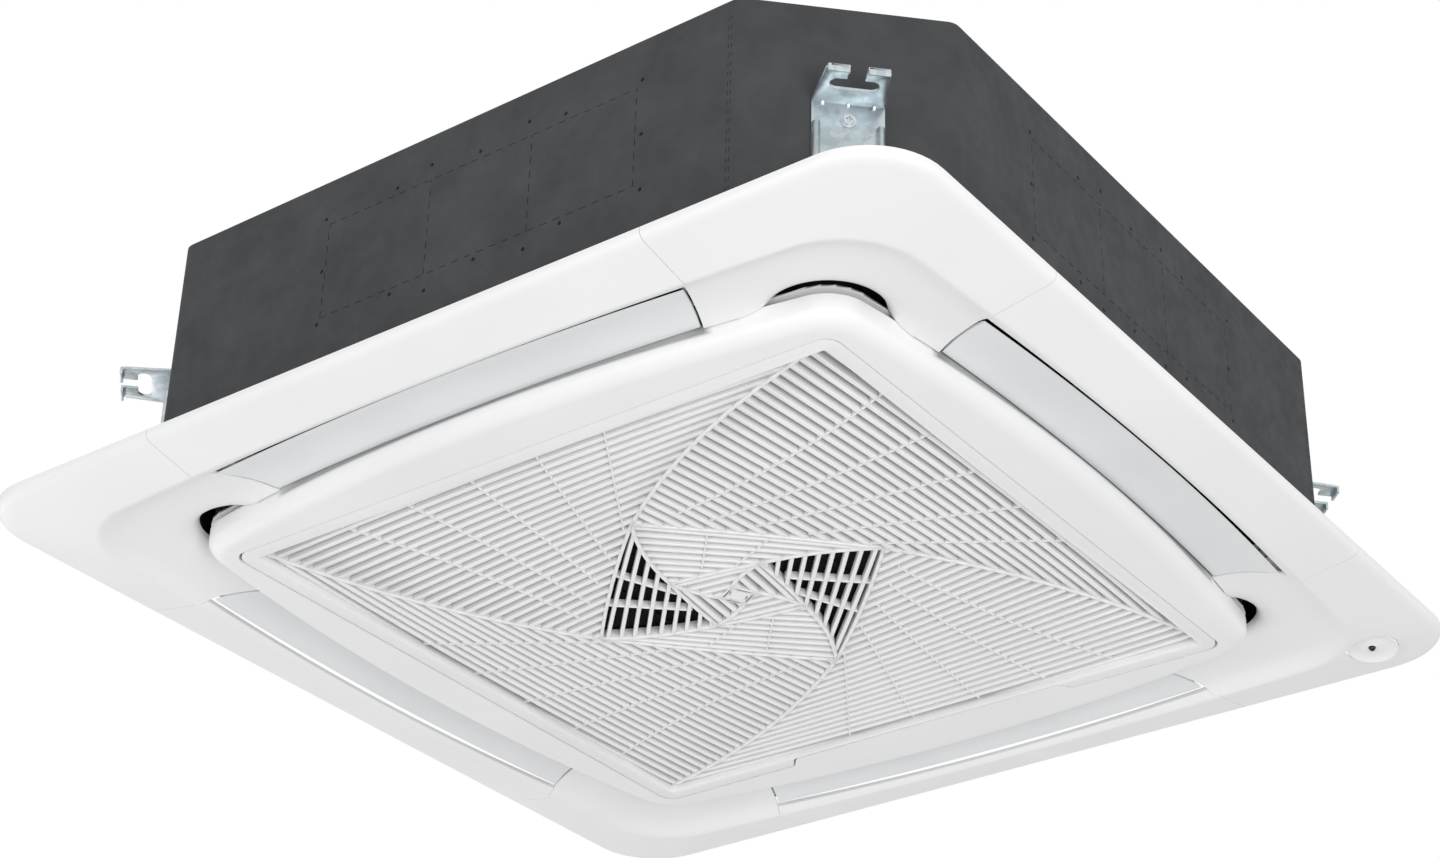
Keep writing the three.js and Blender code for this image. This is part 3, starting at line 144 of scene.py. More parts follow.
def wrapSkin(name, rings, closed=True):
    # a grid rolled into a loop: one row of vertices for each ring
    around = len(rings[0])
    rows = len(rings) + (1 if closed else 0)
    deselectAll()
    bpy.ops.mesh.primitive_grid_add(x_subdivisions=around, y_subdivisions=rows - 1, size=1)
    piece = bpy.context.object
    piece.name = name
    points = []
    for row in range(rows):
        ring = rings[row % len(rings)]
        points.extend(ring[column % around] for column in range(around + 1))
    placeVertices(piece, points)
    editAll(piece)
    bpy.ops.mesh.remove_doubles(threshold=1e-7)
    if not closed:
        bpy.ops.mesh.select_all(action="DESELECT")
        bpy.ops.mesh.select_mode(type="EDGE")
        bpy.ops.mesh.select_non_manifold()
        bpy.ops.mesh.edge_face_add()
        bpy.ops.mesh.select_mode(type="VERT")
        bpy.ops.mesh.select_all(action="SELECT")
    bpy.ops.mesh.normals_make_consistent(inside=False)
    leaveEdit()
    return piece


def prism(name, outline, low, high):
    # a flat outline raised from one height to another
    deselectAll()
    bpy.ops.mesh.primitive_circle_add(vertices=len(outline), radius=1, fill_type="NGON")
    piece = bpy.context.object
    piece.name = name
    placeVertices(piece, [(x, y, low) for x, y in outline])
    editAll(piece)
    bpy.ops.mesh.extrude_region_move(TRANSFORM_OT_translate={"value": (0, 0, (high - low) * mm)})
    bpy.ops.mesh.select_all(action="SELECT")
    bpy.ops.mesh.normals_make_consistent(inside=False)
    leaveEdit()
    return piece


def block(name, low, high):
    return prism(name, [(low[0], low[1]), (high[0], low[1]), (high[0], high[1]), (low[0], high[1])],
                 low[2], high[2])


def spunRing(name, profile, steps, x, y):
    # a closed profile of (radius, height) turned about an upright axis through x, y
    rings = []
    for radius, z in profile:
        rings.append([(x + radius * math.cos(2 * math.pi * i / steps),
                       y + radius * math.sin(2 * math.pi * i / steps), z) for i in range(steps)])
    return wrapSkin(name, rings)


def cylinder(name, radius, low, high, steps=32):
    outline = [(radius * math.cos(2 * math.pi * i / steps), radius * math.sin(2 * math.pi * i / steps))
               for i in range(steps)]
    return prism(name, outline, low, high)


# finishes
# a noise pattern stays mostly between these two values
noiseLow, noiseHigh = 0.3, 0.7


def makeFinish(name, spec):
    # two close tones through one pattern, a second pattern for the gloss, a third for the relief
    material = bpy.data.materials.new(name)
    material.use_nodes = True
    tree = material.node_tree
    shader = tree.nodes["Principled BSDF"]
    shader.inputs["Metallic"].default_value = spec.get("metallic", 0.0)
    shader.inputs["IOR"].default_value = spec.get("ior", 1.5)
    place = addNode(tree, "ShaderNodeTexCoord")
    tones = addNode(tree, "ShaderNodeTexNoise", {"Scale": 1000 / spec["toneMm"], "Detail": 3.0},
                    {"Vector": place.outputs["Object"]})
    toneSource = tones.outputs["Fac"]
    if "cellMm" in spec:
        cells = addNode(tree, "ShaderNodeTexVoronoi", {"Scale": 1000 / spec["cellMm"]},
                        {"Vector": place.outputs["Object"]})
        cellGrey = addNode(tree, "ShaderNodeSeparateColor", {}, {"Color": cells.outputs["Color"]})
        toneSource = cellGrey.outputs["Red"]
    ramp = addNode(tree, "ShaderNodeValToRGB", {}, {"Fac": toneSource})
    ramp.color_ramp.elements[0].position = noiseLow
    ramp.color_ramp.elements[0].color = hexColour(spec["dark"])
    ramp.color_ramp.elements[1].position = noiseHigh
    ramp.color_ramp.elements[1].color = hexColour(spec["light"])
    tree.links.new(ramp.outputs["Color"], shader.inputs["Base Color"])
    gloss = addNode(tree, "ShaderNodeTexNoise", {"Scale": 1000 / spec["glossMm"], "Detail": 2.0},
                    {"Vector": place.outputs["Object"]})
    span = addNode(tree, "ShaderNodeMapRange",
                   {"From Min": noiseLow, "From Max": noiseHigh,
                    "To Min": spec["roughness"] - spec["roughSpan"],
                    "To Max": spec["roughness"] + spec["roughSpan"]}, {"Value": gloss.outputs["Fac"]})
    tree.links.new(span.outputs["Result"], shader.inputs["Roughness"])
    grain = addNode(tree, "ShaderNodeTexNoise", {"Scale": 1000 / spec["grainMm"], "Detail": 2.0},
                    {"Vector": place.outputs["Object"]})
    # grain stands about a fifth as high as it is wide
    relief = addNode(tree, "ShaderNodeBump",
                     {"Strength": spec["relief"], "Distance": spec["grainMm"] * mm * 0.2},
                     {"Height": grain.outputs["Fac"]})
    tree.links.new(relief.outputs["Normal"], shader.inputs["Normal"])
    if "throughMm" in spec:
        # thin white plastic lets some light through
        shader.inputs["Subsurface Weight"].default_value = 0.35
        shader.inputs["Subsurface Scale"].default_value = spec["throughMm"] * mm
        shader.inputs["Subsurface Radius"].default_value = (1.0, 1.0, 1.0)
    return material


finishes = {
    # ABS moulded in a spark-eroded tool: clean white, soft sheen; the 0.3 mm grain is drawn at 1.2 mm to show
    "mouldedAbsPanel": dict(dark="#ececed", light="#f0f0f0", toneMm=160, glossMm=30, grainMm=1.2,
                            roughness=0.42, roughSpan=0.04, relief=0.05, ior=1.53),
    # the vanes' plastic is a little cooler and glossier
    "mouldedAbsVane": dict(dark="#e1e4e5", light="#e7e9ea", toneMm=120, glossMm=24, grainMm=1.2,
                           roughness=0.36, roughSpan=0.04, relief=0.04, ior=1.53),
    # polystyrene grille: the same white, slightly more sheen along the slats
    "mouldedStyreneGrille": dict(dark="#efeff0", light="#f4f4f4", toneMm=140, glossMm=20, grainMm=1.0,
                                 roughness=0.4, roughSpan=0.05, relief=0.04, ior=1.57, throughMm=6),
    # closed-cell polyethylene foam, skived and glued on: dull charcoal with faint clouding and pores
    "skivedFoamWrap": dict(dark="#3f4042", light="#494a4c", toneMm=45, glossMm=12, grainMm=2.2,
                           roughness=0.78, roughSpan=0.08, relief=0.22, ior=1.3),
    # hot-dip galvanised sheet: pale blue-grey metal, spangle of about 6 mm
    "galvanisedSheet": dict(dark="#bac4c8", light="#cbd3d6", toneMm=40, cellMm=6, glossMm=9, grainMm=2,
                            roughness=0.42, roughSpan=0.06, relief=0.05, metallic=1.0),
    # electro-zinc screws: bright, fine brushed look
    "zincScrew": dict(dark="#c9cfd2", light="#dfe3e5", toneMm=4, glossMm=3, grainMm=0.6,
                      roughness=0.38, roughSpan=0.05, relief=0.03, metallic=1.0),
    # expanded polystyrene drawn black, as painted shade for the dark seen inside through the corner slots:
    # matt, beads of about 3 mm pressed together
    "styreneBlackAsPaintedShade": dict(dark="#17181a", light="#232426", toneMm=60, cellMm=3, glossMm=10, grainMm=3,
                         roughness=0.85, roughSpan=0.05, relief=0.3, ior=1.4),
    # open-cell sponge: near black, no sheen
    "sponge": dict(dark="#2c2d2e", light="#3d3e3f", toneMm=8, glossMm=4, grainMm=1.5,
                   roughness=0.95, roughSpan=0.03, relief=0.6, ior=1.4),
    # polypropylene net in its frame: near black from below, no sheen
    "wovenFilterNet": dict(dark="#0c0d0e", light="#151617", toneMm=6, glossMm=3, grainMm=1.4,
                           roughness=0.9, roughSpan=0.06, relief=0.6, ior=1.3),
    # glass-filled plastic, moulded: mid grey, matt
    "mouldedGreyPlastic": dict(dark="#7f8386", light="#8e9295", toneMm=70, glossMm=15, grainMm=1.2,
                               roughness=0.5, roughSpan=0.06, relief=0.08, ior=1.5),
    # black acetal and PVC: dark, soft highlight
    "mouldedBlackPlastic": dict(dark="#151617", light="#202123", toneMm=30, glossMm=8, grainMm=1.0,
                                roughness=0.42, roughSpan=0.06, relief=0.06, ior=1.5),
    # smoked acrylic window of the receiver: almost black, glossy
    "smokedAcrylic": dict(dark="#08090a", light="#101113", toneMm=6, glossMm=6, grainMm=1.0,
                          roughness=0.08, roughSpan=0.02, relief=0.01, ior=1.49),
    # natural rubber mounts: black, dull
    "mouldedRubber": dict(dark="#161616", light="#222222", toneMm=12, glossMm=5, grainMm=1.0,
                          roughness=0.8, roughSpan=0.06, relief=0.2, ior=1.52),
    # turned steel: grey metal, light tool marks
    "turnedSteel": dict(dark="#9da1a4", light="#b9bdc0", toneMm=6, glossMm=2, grainMm=0.8,
                        roughness=0.3, roughSpan=0.06, relief=0.08, metallic=1.0),
    # rolled aluminium fins: pale grey metal, dulled a little by its coating
    "rolledAluminium": dict(dark="#a7abae", light="#c0c4c6", toneMm=20, glossMm=5, grainMm=2,
                            roughness=0.42, roughSpan=0.08, relief=0.15, metallic=1.0),
    # drawn copper tube: warm, slightly dulled by handling
    "drawnCopper": dict(dark="#a9683a", light="#c98552", toneMm=18, glossMm=6, grainMm=1.5,
                        roughness=0.3, roughSpan=0.1, relief=0.05, metallic=1.0),
    # machined brass flare nuts: yellow metal with turning marks
    "machinedBrass": dict(dark="#b2924c", light="#cfb069", toneMm=8, glossMm=3, grainMm=0.8,
                          roughness=0.28, roughSpan=0.06, relief=0.06, metallic=1.0),
    # glass-epoxy laminate under green lacquer
    "laminateBoard": dict(dark="#1f5a3b", light="#2d6d4a", toneMm=14, glossMm=6, grainMm=1.2,
                          roughness=0.35, roughSpan=0.06, relief=0.1, ior=1.5),
}
materials = {name: makeFinish(name, spec) for name, spec in finishes.items()}
print("finishes made:", len(materials))


def dress(piece, finish):
    piece.data.materials.clear()
    piece.data.materials.append(materials[finish])


# the CAD nodes that keep their own shape
nodeFinish = {
    # the foam liner and drain pan are drawn black, as painted shade for the dark inside the unit
    "casing_shell": "galvanisedSheet", "foam_liner": "styreneBlackAsPaintedShade", "panel_gasket": "sponge",
    "air_filter": "wovenFilterNet", "drain_pan": "styreneBlackAsPaintedShade",
    "bell_mouth": "mouldedGreyPlastic", "heat_exchanger": "rolledAluminium",
    "turbo_fan": "mouldedGreyPlastic", "fan_motor": "galvanisedSheet", "motor_shaft": "turnedSteel",
    "fan_nut": "turnedSteel", "control_box": "galvanisedSheet", "control_box_cover": "galvanisedSheet",
    "control_board": "laminateBoard", "gas_pipe": "drawnCopper", "liquid_pipe": "drawnCopper",
    "gas_flare_nut": "machinedBrass", "liquid_flare_nut": "machinedBrass",
    "pipe_plate": "galvanisedSheet", "drain_pump": "mouldedGreyPlastic",
    "drain_outlet": "mouldedBlackPlastic", "float_stem": "mouldedGreyPlastic", "float_ring": "sponge",
    "grille_catch_left": "mouldedStyreneGrille", "grille_catch_right": "mouldedStyreneGrille",
    "hinge_pin_left": "turnedSteel", "hinge_pin_right": "turnedSteel",
}
for number in range(1, 5):
    nodeFinish[f"motor_mount_{number}"] = "mouldedRubber"
for side in sideNames:
    nodeFinish[f"vane_motor_{side}"] = "mouldedBlackPlastic"
for nodeName, finish in nodeFinish.items():
    dress(nodes[nodeName], finish)
print("carried-over nodes dressed:", len(nodeFinish))

# outlines of the panel
# a bowed square is given by its middle's place, the bow of its sides and the radius of its corners
panel = dict(
    half=475, corner=65, crest=427, crestBow=11, crestCorner=75, crestDepth=19.3,
    surround=363, surroundBow=24, surroundCorner=38, surroundDepth=28, surroundFoot=13, surroundTop=4.5,
    shoulder=15, sideSteps=24, cornerSteps=14, seam=255, seamGap=0.25, slotCentre=303, slotRadius=45,
    vaneHoleTop=1.5,
)


def bowedSquare(mid, bow, radius, sideSteps, cornerSteps):
    reach = mid - bow - radius
    if bow > 0:
        sideRadius = (reach ** 2 + bow ** 2) / (2 * bow)
        back = sideRadius - mid
        centre = (-back + math.sqrt(2 * (sideRadius - radius) ** 2 - back ** 2)) / 2
        lean = math.atan2(centre, centre + back)
    else:
        centre, lean = mid - radius, 0
    quarter = []
    for i in range(sideSteps):
        t = -1 + 2 * i / sideSteps
        if bow > 0:
            quarter.append((-back + sideRadius * math.cos(lean * t), sideRadius * math.sin(lean * t)))
        else:
            quarter.append((mid, centre * t))
    for i in range(cornerSteps):
        angle = lean + (math.pi / 2 - 2 * lean) * i / cornerSteps
        quarter.append((centre + radius * math.cos(angle), centre + radius * math.sin(angle)))
    points = []
    for turn in range(4):
        points.extend(turned(point, turn) for point in quarter)
    return points


def turned(point, turn):
    x, y = point
    for _ in range(turn % 4):
        x, y = -y, x
    return (x, y)


def panelRing(mid, z=None):
    # from the straight rim inwards the sides bow more and more
    if mid > panel["crest"]:
        share = (panel["half"] - mid) / (panel["half"] - panel["crest"])
        bow = panel["crestBow"] * share
        radius = panel["corner"] + (panel["crestCorner"] - panel["corner"]) * share
    else:
        share = (panel["crest"] - mid) / (panel["crest"] - panel["surround"])
        bow = panel["crestBow"] + (panel["surroundBow"] - panel["crestBow"]) * share
        radius = panel["crestCorner"] + (panel["surroundCorner"] - panel["crestCorner"]) * share
    outline = bowedSquare(mid, bow, radius, panel["sideSteps"], panel["cornerSteps"])
    return outline if z is None else [(x, y, z) for x, y in outline]


def square(half, radius, steps=8):
    return bowedSquare(half, 0, radius, 1, steps)


def discOutline(x, y, radius, steps=64):
    return [(x + radius * math.cos(2 * math.pi * i / steps), y + radius * math.sin(2 * math.pi * i / steps))
            for i in range(steps)]


vane = dict(
    outer=405, inner=353, outerHalf=242, innerHalf=220, outerBow=10, innerBow=8, outerDepth=13,
    innerDepth=9.5, hollow=3.5, thickness=2.4, edgeRound=0.9, endGap=2.6, edgeGap=3.5, outerGap=5,
    axisPlace=372, axisHeight=0, armPlace=218.5, armThickness=3, pinRadius=2, pinLength=22,
    outlineSteps=24, stations=40, across=14,
    # the arm's corners, measured from the axis
    arm=[(-13, -7.1), (16, -6.4), (4, 1.4), (2.2, 2.9), (-2.2, 2.9), (-4, 1.4)],
)


def mitre(place):
    # half the length of a vane's opening at a place between its inner and outer edge
    slope = (vane["outerHalf"] - vane["innerHalf"]) / (vane["outer"] - vane["inner"])
    return vane["innerHalf"] + (place - vane["inner"]) * slope


def vaneOutline(turn):
    # the opening round a vane, with its gaps
    outerEdge, innerEdge = vane["outer"] + vane["outerGap"], vane["inner"] - vane["edgeGap"]
    outer, inner = [], []
    for i in range(vane["outlineSteps"] + 1):
        t = -1 + 2 * i / vane["outlineSteps"]
        bulge = 1 - t * t
        outer.append((outerEdge + vane["outerBow"] * bulge, t * (mitre(outerEdge) + vane["endGap"])))
        inner.append((innerEdge + vane["innerBow"] * bulge, t * (mitre(innerEdge) + vane["endGap"])))
    return [turned(point, turn) for point in outer + inner[::-1]]


def cornerRegion(turn, grow):
    # what belongs to a corner cover: out to the rim, and between the ends of two vanes
    far, near, crestEnd = 495, 150, panel["crest"] - panel["crestBow"] + 2
    seam = panel["seam"] - grow
    run = [(far, seam), (crestEnd, seam)]
    run += [(place, mitre(place) + vane["endGap"] - grow) for place in (crestEnd, vane["inner"], near)]
    points = run + [(y, x) for x, y in reversed(run)] + [(far, far)]
    return [turned(point, turn) for point in points]


# the skin sinks towards each corner slot: distance outside the slot, height above the skin
scoop = dict(
    steps=96,
    lower=[(23, 0), (18, 0.3), (13.5, 1.0), (9.6, 2.1), (6.4, 3.6), (3.8, 5.6), (1.8, 8.0), (0.5, 10.6),
           (0, 13)],
    upper=[(2.4, 13), (3.0, 10.9), (4.3, 8.6), (6.3, 6.6), (8.8, 5.1), (11.8, 4.0), (15.5, 3.0), (19, 2.6),
           (23, 2.4)],
)
scoopReach = panel["slotRadius"] + scoop["lower"][0][0]


def slotScoop(turn, skin):
    x, y = turned((panel["slotCentre"], panel["slotCentre"]), turn)
    directions = discOutline(0, 0, 1, scoop["steps"])
    starts = []
    for dx, dy in directions:
        # the scoop starts at the skin's own height, found from below, or else at the vanes' inner edge
        below = Vector((x + scoopReach * dx, y + scoopReach * dy, -100)) * mm
        hit, place = skin.ray_cast(below, Vector((0, 0, 1)))[:2]
        starts.append(place.z / mm if hit else -vane["innerDepth"])
    rings = []
    for out, rise in scoop["lower"] + scoop["upper"]:
        radius = panel["slotRadius"] + out
        rings.append([(x + radius * dx, y + radius * dy, start + rise)
                      for (dx, dy), start in zip(directions, starts)])
    return wrapSkin("scoop", rings)


def slotCut(turn):
    x, y = turned((panel["slotCentre"], panel["slotCentre"]), turn)
    return prism("slot", discOutline(x, y, scoopReach - 0.05, scoop["steps"]), -cutDeep, cutDeep)


# the white panel: one skin, parted into the frame's sides and four corner covers
# the skin's section from the rim inwards: place, depth below the ceiling line
lowerSkin = [
    (475, 0), (475, 3.6), (474.6, 5.6), (473.7, 7.3), (472.2, 8.6), (470, 9.5), (467.5, 10.2), (458, 12.3),
    (448, 14.6), (438, 16.8), (431.5, 18.3), (428.4, 19.0), (426.9, panel["crestDepth"]), (425.6, 19.1),
    (423.4, 18.0), (420.5, 15.9), (416.5, 13.4), (412.5, 11.4), (408, 10.0), (402, 9.1), (394, 8.2),
    (386, 7.7), (379, 7.5), (371, 8.3), (364, 9.5),
]
upperSkin = [(364, 7), (380, 5), (394, 5.8), (417, 9.8), (424, 15.8), (430, 15.9), (467, 7.7), (469, 0)]
skinRings = [panelRing(mid, -depth) for mid, depth in lowerSkin + upperSkin]
wholeSkin = wrapSkin("wholeSkin", skinRings)
print("panel skin laid out")

# the receiver's dish and eye are profiles of radius and height above its mouth
receiver = dict(
    place=412, radius=24, depth=17.2, lean=0.15,
    dish=[(3, 5), (3, 2.6), (3.8, 1.6), (6, 1.9), (11, 2.9), (16, 3.1), (20, 2.3), (22, 1.2), (22.5, 1),
          (23, 1.4), (23.2, 2.2), (23.2, 9), (21.2, 9), (21.2, 5.4), (6, 5)],
    eye=[(0.02, -1.2), (1.2, -1), (2.1, -0.4), (2.7, 0.5), (2.9, 1.6), (2.9, 6), (0.02, 6)],
)
bpy.context.view_layer.update()
scoops = [slotScoop(turn, wholeSkin) for turn in range(4)]
for turn, name in enumerate(cornerNames):
    cover = copyPiece(wholeSkin, f"cornerCover_{name}")
    carve(cover, [prism("region", cornerRegion(turn, 0), -cutDeep, 1)], "INTERSECT")
    carve(cover, [prism("vaneA", vaneOutline(turn), -cutDeep, cutDeep),
                  prism("vaneB", vaneOutline(turn + 1), -cutDeep, cutDeep), slotCut(turn)])
    if turn == 0:
        hole = discOutline(receiver["place"], receiver["place"], receiver["radius"], 48)
        carve(cover, [prism("hole", hole, -cutDeep, 5)])
    carve(scoops[turn], [prism("inside", panelRing(panel["surround"] + 0.4), -cutDeep, cutDeep),
                         prism("vaneA", vaneOutline(turn), -cutDeep, cutDeep),
                         prism("vaneB", vaneOutline(turn + 1), -cutDeep, cutDeep)])
    cover = joinPieces([cover, scoops[turn]], f"cornerCover_{name}")
    smoothPiece(cover)
    dress(cover, "mouldedAbsPanel")
    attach(cover, "cassette")
    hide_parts(f"corner_cover_{name}")
print("corner covers parted")

sides = wholeSkin
carve(sides, [prism("region", cornerRegion(turn, 2 * panel["seamGap"]), -cutDeep, 1) for turn in range(4)])
carve(sides, [prism("vaneHole", vaneOutline(turn), -cutDeep, -panel["vaneHoleTop"]) for turn in range(4)])

# grille door and the surround round it
door = dict(half=311.5, corner=16, doorwayCorner=14, gap=1.2, face=27.4, back=14, wall=2.4, edgeRound=0.9,
            stepDepth=13, stepHalf=146, stepSlope=14, stepPoints=6, field=297,
            hingeY=-300, hingeZ=-23.6, pinReach=316.5, pinGap=0.5, pinPocket=1.9,
            catchPlace=95, catchWidth=13, catchNear=292, catchFar=322, catchLow=-20.2, catchHigh=-14.8)


def doorOutline(grow, corner):
    # a square whose edge opposite the hinge has a shallow step
    half = door["half"] + grow
    points = square(half, corner)
    start = next(i for i, (x, y) in enumerate(points) if abs(y - half) < 1e-6 and x > 0)
    inner = half - door["stepDepth"]
    bottom, top = door["stepHalf"] - grow, door["stepHalf"] + door["stepSlope"] - grow
    curve = []
    for i in range(door["stepPoints"] + 1):
        t = i / door["stepPoints"]
        curve.append((top + (bottom - top) * t, half + (inner - half) * (3 * t * t - 2 * t ** 3)))
    step = curve + [(-x, y) for x, y in reversed(curve)]
    return points[:start + 1] + step + points[start + 1:]


def surroundOutline(inset):
    scale = (panel["surround"] - inset) / panel["surround"]
    return [(x * scale, y * scale) for x, y in panelRing(panel["surround"])]


surroundRings = [[(x, y, -panel["surroundTop"]) for x, y in surroundOutline(0)]]
shoulderStart = panel["surroundFoot"] + 3
shoulderSteps = 10
for i in range(shoulderSteps + 1):
    angle = math.pi / 2 * i / shoulderSteps
    inset = panel["shoulder"] * (1 - math.cos(angle))
    depth = shoulderStart + (panel["surroundDepth"] - shoulderStart) * math.sin(angle)
    surroundRings.append([(x, y, -depth) for x, y in surroundOutline(inset)])
surround = wrapSkin("surround", surroundRings, closed=False)
# the side runs up to the skin at the corners and leaves room for the vanes between them
carve(surround, [prism("vaneRoom", vaneOutline(turn), -panel["surroundFoot"], 10) for turn in range(4)])
carve(surround, [prism("doorway", doorOutline(door["gap"], door["doorwayCorner"]), -cutDeep, cutDeep)])
for side in (-1, 1):
    middle, halfWidth = side * door["catchPlace"], door["catchWidth"] / 2
    carve(surround, [block("catchPocket", (middle - halfWidth, door["catchNear"], door["catchLow"]),
                           (middle + halfWidth, door["catchFar"], door["catchHigh"]))])
reach, room, pinY, pinZ = door["pinReach"] + door["pinGap"], door["pinPocket"], door["hingeY"], door["hingeZ"]
carve(surround, [block("pinPocket", (-reach, pinY - room, pinZ - room), (reach, pinY + room, pinZ + room))])
# a thin wall stands round the intake, above the doorway
intake = dict(outer=320.5, outerCorner=22, inner=318, innerCorner=20, foot=13.5, top=3)
intakeWall = prism("intakeWall", square(intake["outer"], intake["outerCorner"]),
                   -intake["foot"], -intake["top"])
carve(intakeWall, [prism("inside", square(intake["inner"], intake["innerCorner"]), -cutDeep, cutDeep)])

# the flat deck, ducts and upper walls keep the solid's own shape above the skin and inside its rim
deckFloor, deckHalf = 3.2, 440
deck = copyPiece(nodes["panel_frame"], "deck")
# the copy is a plain mesh: it hangs on nothing and carries none of the node's notes
deck.parent = None
for key in list(deck.keys()):
    del deck[key]
editAll(deck)
bpy.ops.mesh.remove_doubles(threshold=1e-6)
bpy.ops.mesh.bisect(plane_co=(0, 0, -deckFloor * mm), plane_no=(0, 0, 1), clear_inner=True, use_fill=True)
leaveEdit()
pick(deck)
for vertex in deck.data.vertices:
    vertex.select = max(abs(vertex.co.x), abs(vertex.co.y)) > deckHalf * mm
bpy.ops.object.mode_set(mode="EDIT")
bpy.ops.mesh.delete(type="VERT")
leaveEdit()
panelFrame = joinPieces([sides, surround, intakeWall, deck], "panelFrame")
smoothPiece(panelFrame)
dress(panelFrame, "mouldedAbsPanel")
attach(panelFrame, "cassette")
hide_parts("panel_frame")
print("panel frame done")

# swirl grille
# widths are across a blade's face, tapers are what its back is narrower by, sets are how far it stays inside
swirl = dict(
    face=21, back=11.5, spokeWidth=3.6, spokeTaper=0.8, spokeProud=0.5, sideWidth=3.2, sideTaper=0.6,
    slatWidths=[4.8, 3.7, 4.6], slatTaper=0.7, slatSet=0.6, slatShortest=9, pitch=12.35, lead=0.855,
    bowRadius=5000, ribWidth=1.8, ribTaper=0.4, ribSet=0.7, ribBackSet=1.4, ribLength=0.92,
)
# each whirl's corners lie on a circle, turned on from the one outside it
whirl = [
    dict(radius=door["field"] * math.sqrt(2), turn=45, spokeBow=17, sideBow=0),
    dict(radius=154, turn=90, spokeBow=6, sideBow=3),
    dict(radius=62.2, turn=126.5, spokeBow=3, sideBow=1.5),
    dict(radius=16, turn=165, spokeBow=0, sideBow=0),
]
# the ribs of the two outer whirls: share along the outer side, share along the inner side, bow
ribs = [
    [(0.143 + 0.1235 * j, ((j + 1) / 5.5) ** 1.5, bow) for j, bow in enumerate([12, 7, 2, 0, 0])],
    [(0.3, 0.35, 0), (0.56, 0.7, 0)],
    [],
]
# the hub's cuts run between shares of its sides, drawn in towards its middle
hubCut = dict(startShare=0.18, startIn=0.72, endShare=0.74, endIn=0.62, bow=0.8, width=1.9, deep=3.5)


def whirlPoint(level, k):
    angle = math.radians(whirl[level]["turn"] + 90 * k)
    return Vector((whirl[level]["radius"] * math.cos(angle), -whirl[level]["radius"] * math.sin(angle)))


def bowedRun(start, end, bow, steps):
    along = end - start
    normal = Vector((-along.y, along.x)).normalized()
    return [start + along * (i / steps) + normal * (bow * 4 * (i / steps) * (1 - i / steps))
            for i in range(steps + 1)]


def runLength(points):
    return sum((points[i] - points[i - 1]).length for i in range(1, len(points)))


def pointAlong(points, share):
    left = share * runLength(points)
    for i in range(1, len(points)):
        step = (points[i] - points[i - 1]).length
        if left <= step:
            return points[i - 1].lerp(points[i], left / step)
        left -= step
    return points[-1].copy()


def spokeRun(level, k):
    return bowedRun(whirlPoint(level, k), whirlPoint(level + 1, k), whirl[level]["spokeBow"], 16)


def sideRun(level, k):
    return bowedRun(whirlPoint(level, k), whirlPoint(level, k + 1), whirl[level]["sideBow"], 8)


# one blade is shaped once: a bar with a rounded lower edge, cut into lengths so that it can bend
bladeCuts = 8
deselectAll()
bpy.ops.mesh.primitive_cube_add(size=1, location=(0.5, 0, 0.5))
blade = bpy.context.object
blade.name = "blade"
bpy.ops.object.transform_apply(location=True, rotation=False, scale=False)
editAll(blade)
bpy.ops.mesh.select_all(action="DESELECT")
leaveEdit()
for edge in blade.data.edges:
    ends = [blade.data.vertices[i].co for i in edge.vertices]
    edge.select = all(co.z < 0.01 for co in ends) and abs(ends[0].x - ends[1].x) > 0.5
pick(blade)
bpy.ops.object.mode_set(mode="EDIT")
bpy.ops.mesh.select_mode(type="EDGE")
bpy.ops.mesh.bevel(offset=0.2, segments=3, affect="EDGES")
bpy.ops.mesh.select_mode(type="VERT")
for i in range(1, bladeCuts):
    bpy.ops.mesh.select_all(action="SELECT")
    bpy.ops.mesh.bisect(plane_co=(i / bladeCuts, 0, 0), plane_no=(1, 0, 0))
bpy.ops.mesh.select_all(action="SELECT")
bpy.ops.mesh.normals_make_consistent(inside=False)
leaveEdit()
print("blade shaped:", len(blade.data.vertices), "vertices")


def layBlade(points, width, backWidth, low, high):
    # a copy of the blade bent along a run of points; its rounded edge keeps 4 mm to a unit of height
    piece = copyPiece(blade, "bladeCopy")
    placed = []
    for vertex in blade.data.vertices:
        share = min(max(vertex.co.x, 0), 1)
        here = pointAlong(points, share)
        after, before = pointAlong(points, min(share + 0.02, 1)), pointAlong(points, max(share - 0.02, 0))
        along = (after - before).normalized()
        across = vertex.co.y * (width + (backWidth - width) * vertex.co.z)
        height = vertex.co.z * ((high - low) if vertex.co.z > 0.3 else 4.0)
        placed.append((here.x - along.y * across, here.y + along.x * across, low + height))
    placeVertices(piece, placed)
    return piece


